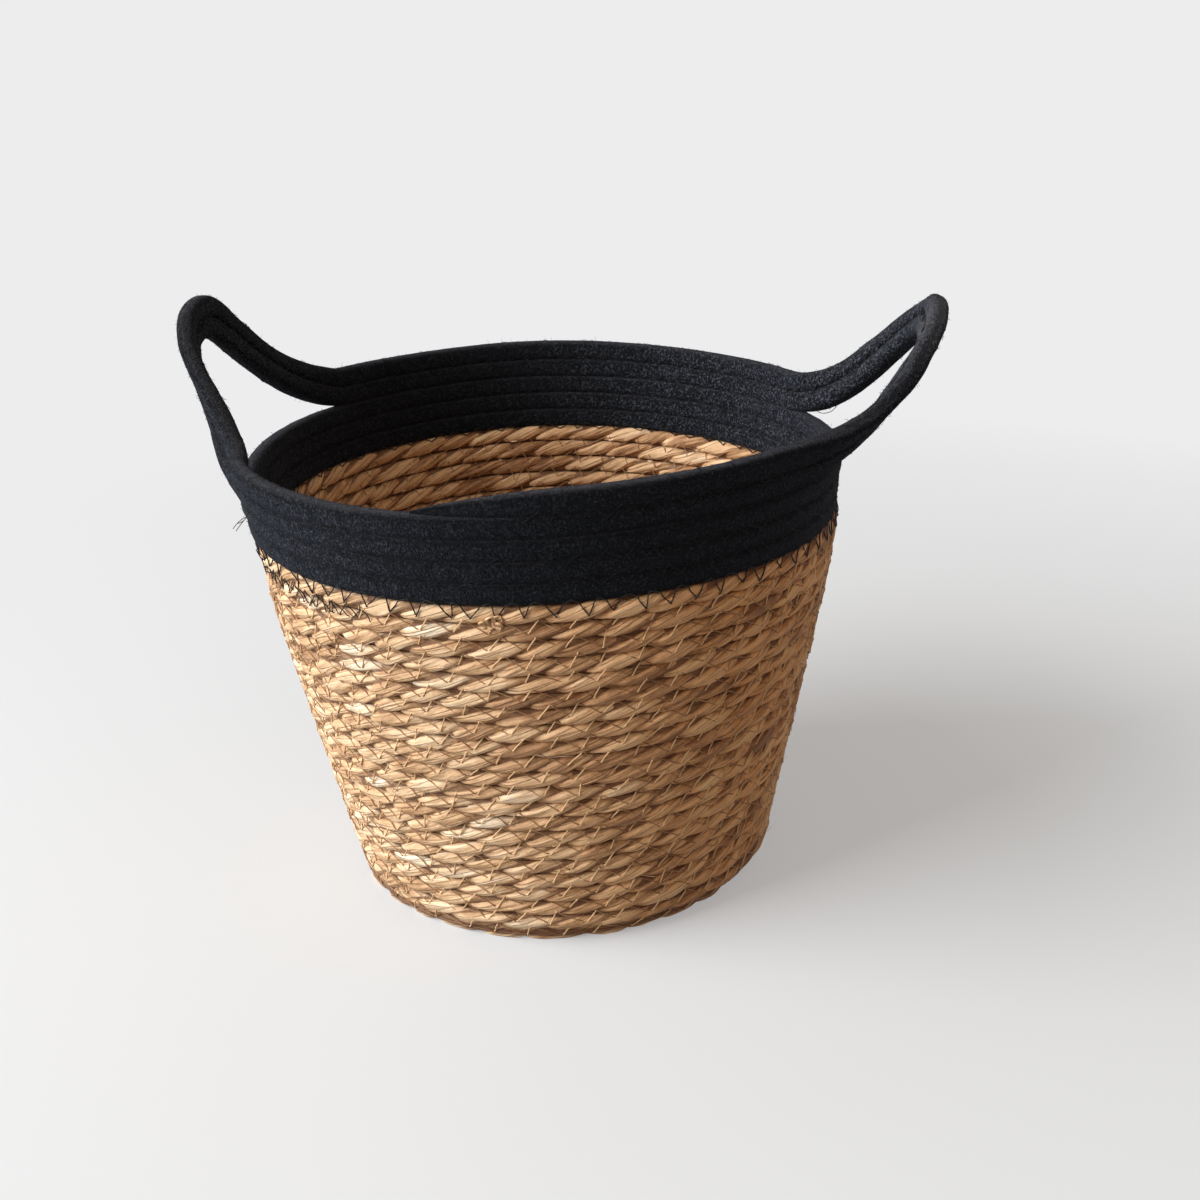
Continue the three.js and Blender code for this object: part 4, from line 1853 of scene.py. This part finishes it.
def taut_line(turns: Array, level: Array, face: Face, lift: float, rope: SeagrassRope) -> Array:
    """Points of stitches over the seam between two seagrass rows.

    Args:
        turns: Places along the lower row, with the shape (stitches, places).
        level: Heights over the seam between that row and the next.
        face: The face of the wall.
        lift: Height over the surface.
        rope: The seagrass rope.

    Returns:
        The points, with the shape (stitches, places, 3).
    """
    half = SHAPE.straw_pitch / 2
    corner_depth, slack, end_depth = 4.5, 0.5, 1.1
    lower, upper = SHAPE.straw(turns), SHAPE.straw(turns + 1)
    climb = unit(upper.centre - lower.centre)
    out = square_to(lower.out + upper.out, climb) * face.value
    below = level < 0
    up = np.where(below, level + half, level - half)
    depth = rope.surface(np.where(below, turns, turns + 1), up, face) * face.value
    corner = (lower.stack * climb).sum(-1) < 0.97
    depth = np.where(corner, corner_depth, depth) + lift
    centre = np.where(below[..., None], lower.centre, upper.centre)
    points = centre + climb * up[..., None] + out * depth[..., None]
    points = stretched(points, out, slack)
    points[:, [0, -1]] -= end_depth * out[:, [0, -1]]
    return points


@dataclass
class CottonStitches:
    """The black zigzag along every cotton seam, and over the seam of cotton and seagrass."""

    finish: Material
    straw: SeagrassRope
    cotton: CottonRope
    period: float = 12.0
    period_spread_share: float = 0.14
    down: float = 4.9
    inside_down: float = 1.7
    up: float = 1.6
    cotton_reach: float = 2.3
    reach_spread_share: float = 0.12
    places: int = 9
    lift: float = 0.3
    slack: float = 0.3
    cotton_lift: float = 0.1
    seam_lift: float = 0.02
    radius: float = 0.32
    seam_radius_share: float = 0.7
    crowd_radius_share: float = 0.8
    loose_radius: float = 0.2
    junction_start: float = 4
    junction_gap: float = 6
    handle_overrun: float = 20
    front_gap: float = 45
    crowd_seeds: tuple[int, int] = (61, 62)
    crowd_periods: tuple[float, float] = (9.5, 13.0)
    crowd_length: float = 104
    crowd_reach: float = 4.0
    crowd_spread: float = 0.7
    fray_angle: float = 203

    def zigzag(
        self, start: float, stop: float, rng: np.random.Generator, period: float
    ) -> tuple[Array, Array]:
        """Legs of a zigzag along a seam.

        Args:
            start: Where the zigzag begins.
            stop: Where it ends.
            rng: The source of the random values.
            period: Length of two legs.

        Returns:
            Places along the seam and shares of the reach, from -1 to 1, for each leg.
        """
        half, count = period / 2, int((stop - start) / (period / 2))
        uneven = rng.normal(0, self.period_spread_share * period, count + 1)
        spots = start + half * np.arange(count + 1) + uneven
        share = np.linspace(0, 1, self.places)
        along = spots[:-1, None] + np.diff(spots)[:, None] * share
        sign = np.where(np.arange(count) % 2 == 0, 1.0, -1.0)[:, None]
        reach = 1 + rng.normal(0, self.reach_spread_share, (count, 1))
        return along, sign * (2 * share - 1) * reach

    def cotton_surface(self, level: Array) -> Array:
        """How far out the cotton rope's cover lies.

        Args:
            level: Heights over the rope's centre.

        Returns:
            The distance out of the centre at each.
        """
        sizes = self.cotton.sizes
        share = np.clip(np.abs(level) / sizes.half_height, 0, 0.999)
        rounding = (1 - share ** (2 / sizes.squareness)) ** (sizes.squareness / 2)
        return sizes.half_width * rounding

    def junction(self, face: Face) -> Array:
        """Legs over the seam between the last seagrass row and the first cotton row.

        Args:
            face: The face of the wall.

        Returns:
            The points of the legs.
        """
        rng = np.random.default_rng(51 + face.value)
        stop = SHAPE.girth - self.junction_gap
        along, share = self.zigzag(self.junction_start, stop, rng, self.period)
        turns = along / SHAPE.girth
        down = self.down if face is Face.OUTSIDE else self.inside_down
        level = np.where(share < 0, share * down, share * self.up)
        up = np.minimum(level, 0) + SHAPE.straw_pitch / 2 - 0.01
        below = self.straw.place(SHAPE.last_straw_row + turns, up, self.lift, face)
        height = np.maximum(level, 0) - SHAPE.cotton_pitch / 2
        out = (self.cotton_surface(height) + self.cotton_lift) * face.value
        station = SHAPE.cotton(turns)
        points = np.where((level < 0)[..., None], below, station.at(out, height))
        return stretched(points, station.out * face.value, self.slack)

    def crowd(self) -> Array:
        """The crowded legs on the last seagrass seam, where the black thread begins.

        Returns:
            The points of the legs.
        """
        lines = []
        for seed, period in zip(self.crowd_seeds, self.crowd_periods):
            rng = np.random.default_rng(seed)
            along, share = self.zigzag(0, self.crowd_length, rng, period)
            turns = SHAPE.last_straw_row - along / SHAPE.girth
            uneven = rng.normal(0, self.crowd_spread, (len(share), 1))
            level = share * self.crowd_reach + uneven
            lines.append(taut_line(turns, level, Face.OUTSIDE, self.lift, self.straw))
        return np.concatenate(lines)

    def seam(self, start: float, stop: float, face: Face, seed: int) -> Array:
        """Legs over a seam between two cotton rows.

        Args:
            start: Where the legs begin along the lower row.
            stop: Where they end.
            face: The face of the wall.
            seed: The seed of the random values.

        Returns:
            The points of the legs.
        """
        along, share = self.zigzag(start, stop, np.random.default_rng(seed), self.period)
        level, half = share * self.cotton_reach, SHAPE.cotton_pitch / 2
        out = (self.cotton_surface(half - np.abs(level)) + self.seam_lift) * face.value
        return self.cotton.stations_at(along).at(out, level + half)

    def loose_ends(self) -> list[Array]:
        """Lines of the frayed ends at the left.

        Returns:
            One line for each end.
        """
        share = np.linspace(0, 1, 10)[:, None]
        spot = SHAPE.cotton(np.array([SHAPE.turns_at(self.fray_angle) + 1]))
        root = spot.centre[0] + spot.out[0] * 4.0
        bow = UP * np.sin(np.pi * share)
        ends = (((-7.0, -3.0, -5.5), 1.0), ((-5.0, -2.0, -3.0), -0.8), ((-6.0, -2.0, -7.0), 0.3))
        return [root + share * np.array(aim) + bow * drop for aim, drop in ends]

    def loose_loop(self) -> Array:
        """Line of the slack loop of thread under the right handle's far foot.

        Returns:
            The line's points.
        """
        angle = np.pi * np.linspace(0, 1, 14)[:, None]
        foot = np.searchsorted(self.cotton.along, self.cotton.marks["right_handle_lower"][0])
        start = self.cotton.path.centre[foot] + np.array([10.0, -6.0, -2.0])
        half_width, drop = np.array([5.6, -2.8, 1.4]), 4.0 * UP
        return start + half_width * (1 - np.cos(angle)) - drop * np.sin(angle)

    def stretches(self) -> list[tuple[HandleShape | None, float, float]]:
        """The seams between cotton rows.

        Returns:
            The handle that each seam belongs to, if any, and the distances where it runs.
        """
        marks, overlap = self.cotton.marks, self.cotton.sizes.overlap
        band_end = marks["band"][1] * (SHAPE.band_rows - 1) / SHAPE.band_rows
        back, front = marks["rim_back_lower"], marks["rim_front_lower"][0]
        rim_length = marks["rim_front_upper"][1] - marks["rim_front_upper"][0]
        made = [
            (None, 0, band_end),
            (None, back[0] + overlap, back[1] - overlap),
            (None, front + overlap, front + rim_length - self.front_gap),
        ]
        for shape in HANDLES:
            first, last = marks[f"{shape.body}_lower"]
            made.append((shape, first - self.handle_overrun, last + self.handle_overrun))
        return made

    def build(self) -> list[Piece]:
        """Builds the stitches of the bowl and of both handles.

        Returns:
            The pieces.
        """
        # Tones pick between the black thread's painted shaded and lit colours
        fixed, made, loose = MeshParts(), [], np.array([-0.8])
        for i, (holder, start, stop) in enumerate(self.stretches()):
            parts = fixed if holder is None else MeshParts()
            for face in Face:
                lines = self.seam(start, stop, face, 80 + 2 * i + face.value)
                radius = self.seam_radius_share * self.radius
                parts.strands(lines, radius, 4, np.full(len(lines), -1.0))
            if holder is RIGHT:
                parts.strands(self.loose_loop()[None], self.loose_radius, 6, loose)
            if holder is not None:
                piece = parts.to_object(f"black_stitches_{holder.body}", self.finish)
                self.cotton.hold(piece, holder)
                made.append(piece)
        for face in Face:
            legs = self.junction(face)
            fixed.strands(legs, self.radius, 6, np.full(len(legs), -0.4))
        for line in self.loose_ends():
            fixed.strands(line[None], self.loose_radius, 6, loose)
        crowd = self.crowd()
        radius = self.crowd_radius_share * self.radius
        fixed.strands(crowd, radius, 6, np.full(len(crowd), -0.4))
        piece = fixed.to_object("black_stitches_band", self.finish)
        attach(piece, "bowl")
        return made + [piece]


@dataclass(frozen=True)
class SoftLight:
    """A soft square light that faces the basket, in metres and watts."""

    name: str
    place: tuple[float, float, float]
    size: float
    power: float
    tint: tuple[float, float, float]

    def build(self) -> None:
        """Makes the light."""
        data = bpy.data.lights.new(self.name, "AREA")
        data.shape = "SQUARE"
        data.size = self.size
        data.energy = self.power
        data.color = self.tint
        place, aim = Vector(self.place), Vector((0, 0, 0.13))
        turn = (place - aim).to_track_quat("Z", "Y").to_matrix().to_4x4()
        add_object(self.name, data).matrix_world = Matrix.Translation(place) @ turn


@dataclass
class Studio:
    """The plain floor, the soft lights and the camera."""

    camera_place: tuple = (140.42, -722.7, 421.1)
    azimuth: float = 99.552
    pitch: float = 21.03
    roll: float = -2.0506
    focal_pixels: float = 1486.0
    image_pixels: float = 1200.0
    sensor: float = 36.0
    seen_from: float = 0.05
    seen_to: float = 60
    floor_reach: float = 30.0
    backdrop: tuple = colour(237, 237, 238)
    floor_tint: tuple = colour(221, 222, 223)
    floor_bounce: tuple = colour(132, 128, 126)
    surround_tint: tuple = (1.0, 0.88, 0.75)
    surround_strength: float = 0.29
    lights: tuple[SoftLight, ...] = (
        SoftLight("window", (-2.1, -1.1, 1.4), 2.2, 140, (0.95, 0.98, 1.0)),
        SoftLight("fill", (1.4, -1.8, 1.2), 1.6, 4, (1.0, 0.76, 0.56)),
    )

    def build_camera(self) -> None:
        """Makes the camera at the photograph's place and angle."""
        azimuth, pitch, roll = (math.radians(v) for v in (self.azimuth, self.pitch, self.roll))
        level = Vector((math.cos(azimuth), math.sin(azimuth), 0)) * math.cos(pitch)
        ahead = level - Vector((0, 0, math.sin(pitch)))
        right = ahead.cross(Vector((0, 0, 1))).normalized()
        up = right.cross(ahead)
        turned_right = right * math.cos(roll) + up * math.sin(roll)
        turned_up = up * math.cos(roll) - right * math.sin(roll)
        data = bpy.data.cameras.new("camera")
        data.sensor_width = self.sensor
        data.lens = self.focal_pixels / self.image_pixels * self.sensor
        data.clip_start, data.clip_end = self.seen_from, self.seen_to
        camera = add_object("camera", data)
        axes = Matrix((turned_right, turned_up, -ahead)).transposed()
        camera.matrix_world = Matrix.Translation(Vector(self.camera_place) * MM) @ axes.to_4x4()
        bpy.context.scene.camera = camera

    def build_floor(self) -> None:
        """Makes a wide pale floor that keeps the basket's shadow."""
        mesh = bpy.data.meshes.new("floor")
        corners = [(x, y, 0) for x, y in ((-1, -1), (1, -1), (1, 1), (-1, 1))]
        mesh.from_pydata([Vector(c) * self.floor_reach for c in corners], [], [(0, 1, 2, 3)])
        nodes = Nodes("floor")
        seen, own = nodes.seen_rays(), nodes.own_places()
        body = nodes.mix(seen, (*self.floor_bounce, 1), (*self.floor_tint, 1))
        nodes.finished({"Base Color": body, "Roughness": 0.9, "Specular IOR Level": 0.1})
        reach = nodes.add("ShaderNodeVectorMath", {0: own}, operation="LENGTH").outputs["Value"]
        share = nodes.product(nodes.spread(reach, (0.25, 1.0), (0.38, 1)), seen)
        far = nodes.add("ShaderNodeEmission", {"Color": (*self.backdrop, 1)}).outputs[0]
        mix = nodes.add("ShaderNodeMixShader", {0: share, 1: nodes.shader.outputs[0], 2: far})
        nodes.tree.links.new(mix.outputs[0], nodes.output.inputs[0])
        mesh.materials.append(nodes.material)
        add_object("floor", mesh)

    def build_world(self) -> None:
        """Makes an even pale surrounding, which is brighter where the camera sees it."""
        world = bpy.data.worlds.new("surround")
        nodes = Nodes("surround", world)
        output = nodes.add("ShaderNodeOutputWorld")
        pair = ((self.surround_tint, self.surround_strength), (self.backdrop, 1.0))
        fill, seen = (
            nodes.add("ShaderNodeBackground", {"Color": (*tint, 1), "Strength": strength})
            for tint, strength in pair
        )
        shaders = {0: nodes.seen_rays(), 1: fill.outputs[0], 2: seen.outputs[0]}
        mix = nodes.add("ShaderNodeMixShader", shaders)
        nodes.tree.links.new(mix.outputs[0], output.inputs[0])
        bpy.context.scene.world = world

    def build(self) -> None:
        """Builds the whole set."""
        self.build_camera()
        self.build_floor()
        self.build_world()
        for light in self.lights:
            light.build()
        bpy.context.scene.view_settings.view_transform = "Standard"


def report(pieces: Iterable[Piece]) -> None:
    """Logs the name and the face count of each piece."""
    for piece in pieces:
        log.info("%s: %d faces", piece.name, len(piece.data.polygons))


def main() -> None:
    """Builds the basket and its set in order."""
    logging.basicConfig(level=logging.INFO, format="%(name)s %(message)s")
    Studio().build()
    seagrass = SeagrassFinish().material()
    cotton = CottonFinish().material()
    tan = ThreadFinish("tan_thread", colour(140, 94, 56), colour(236, 198, 150)).material()
    black = ThreadFinish("black_thread", colour(9, 9, 10), colour(60, 46, 38), 0.2).material()
    rope = SeagrassRope(seagrass)
    report(rope.build() + [LooseFibres(rope).build()])
    dark_rope = CottonRope(cotton)
    report(dark_rope.build())
    report(SeagrassStitches(tan, rope).build())
    report(CottonStitches(black, rope, dark_rope).build())


if __name__ == "__main__":
    main()
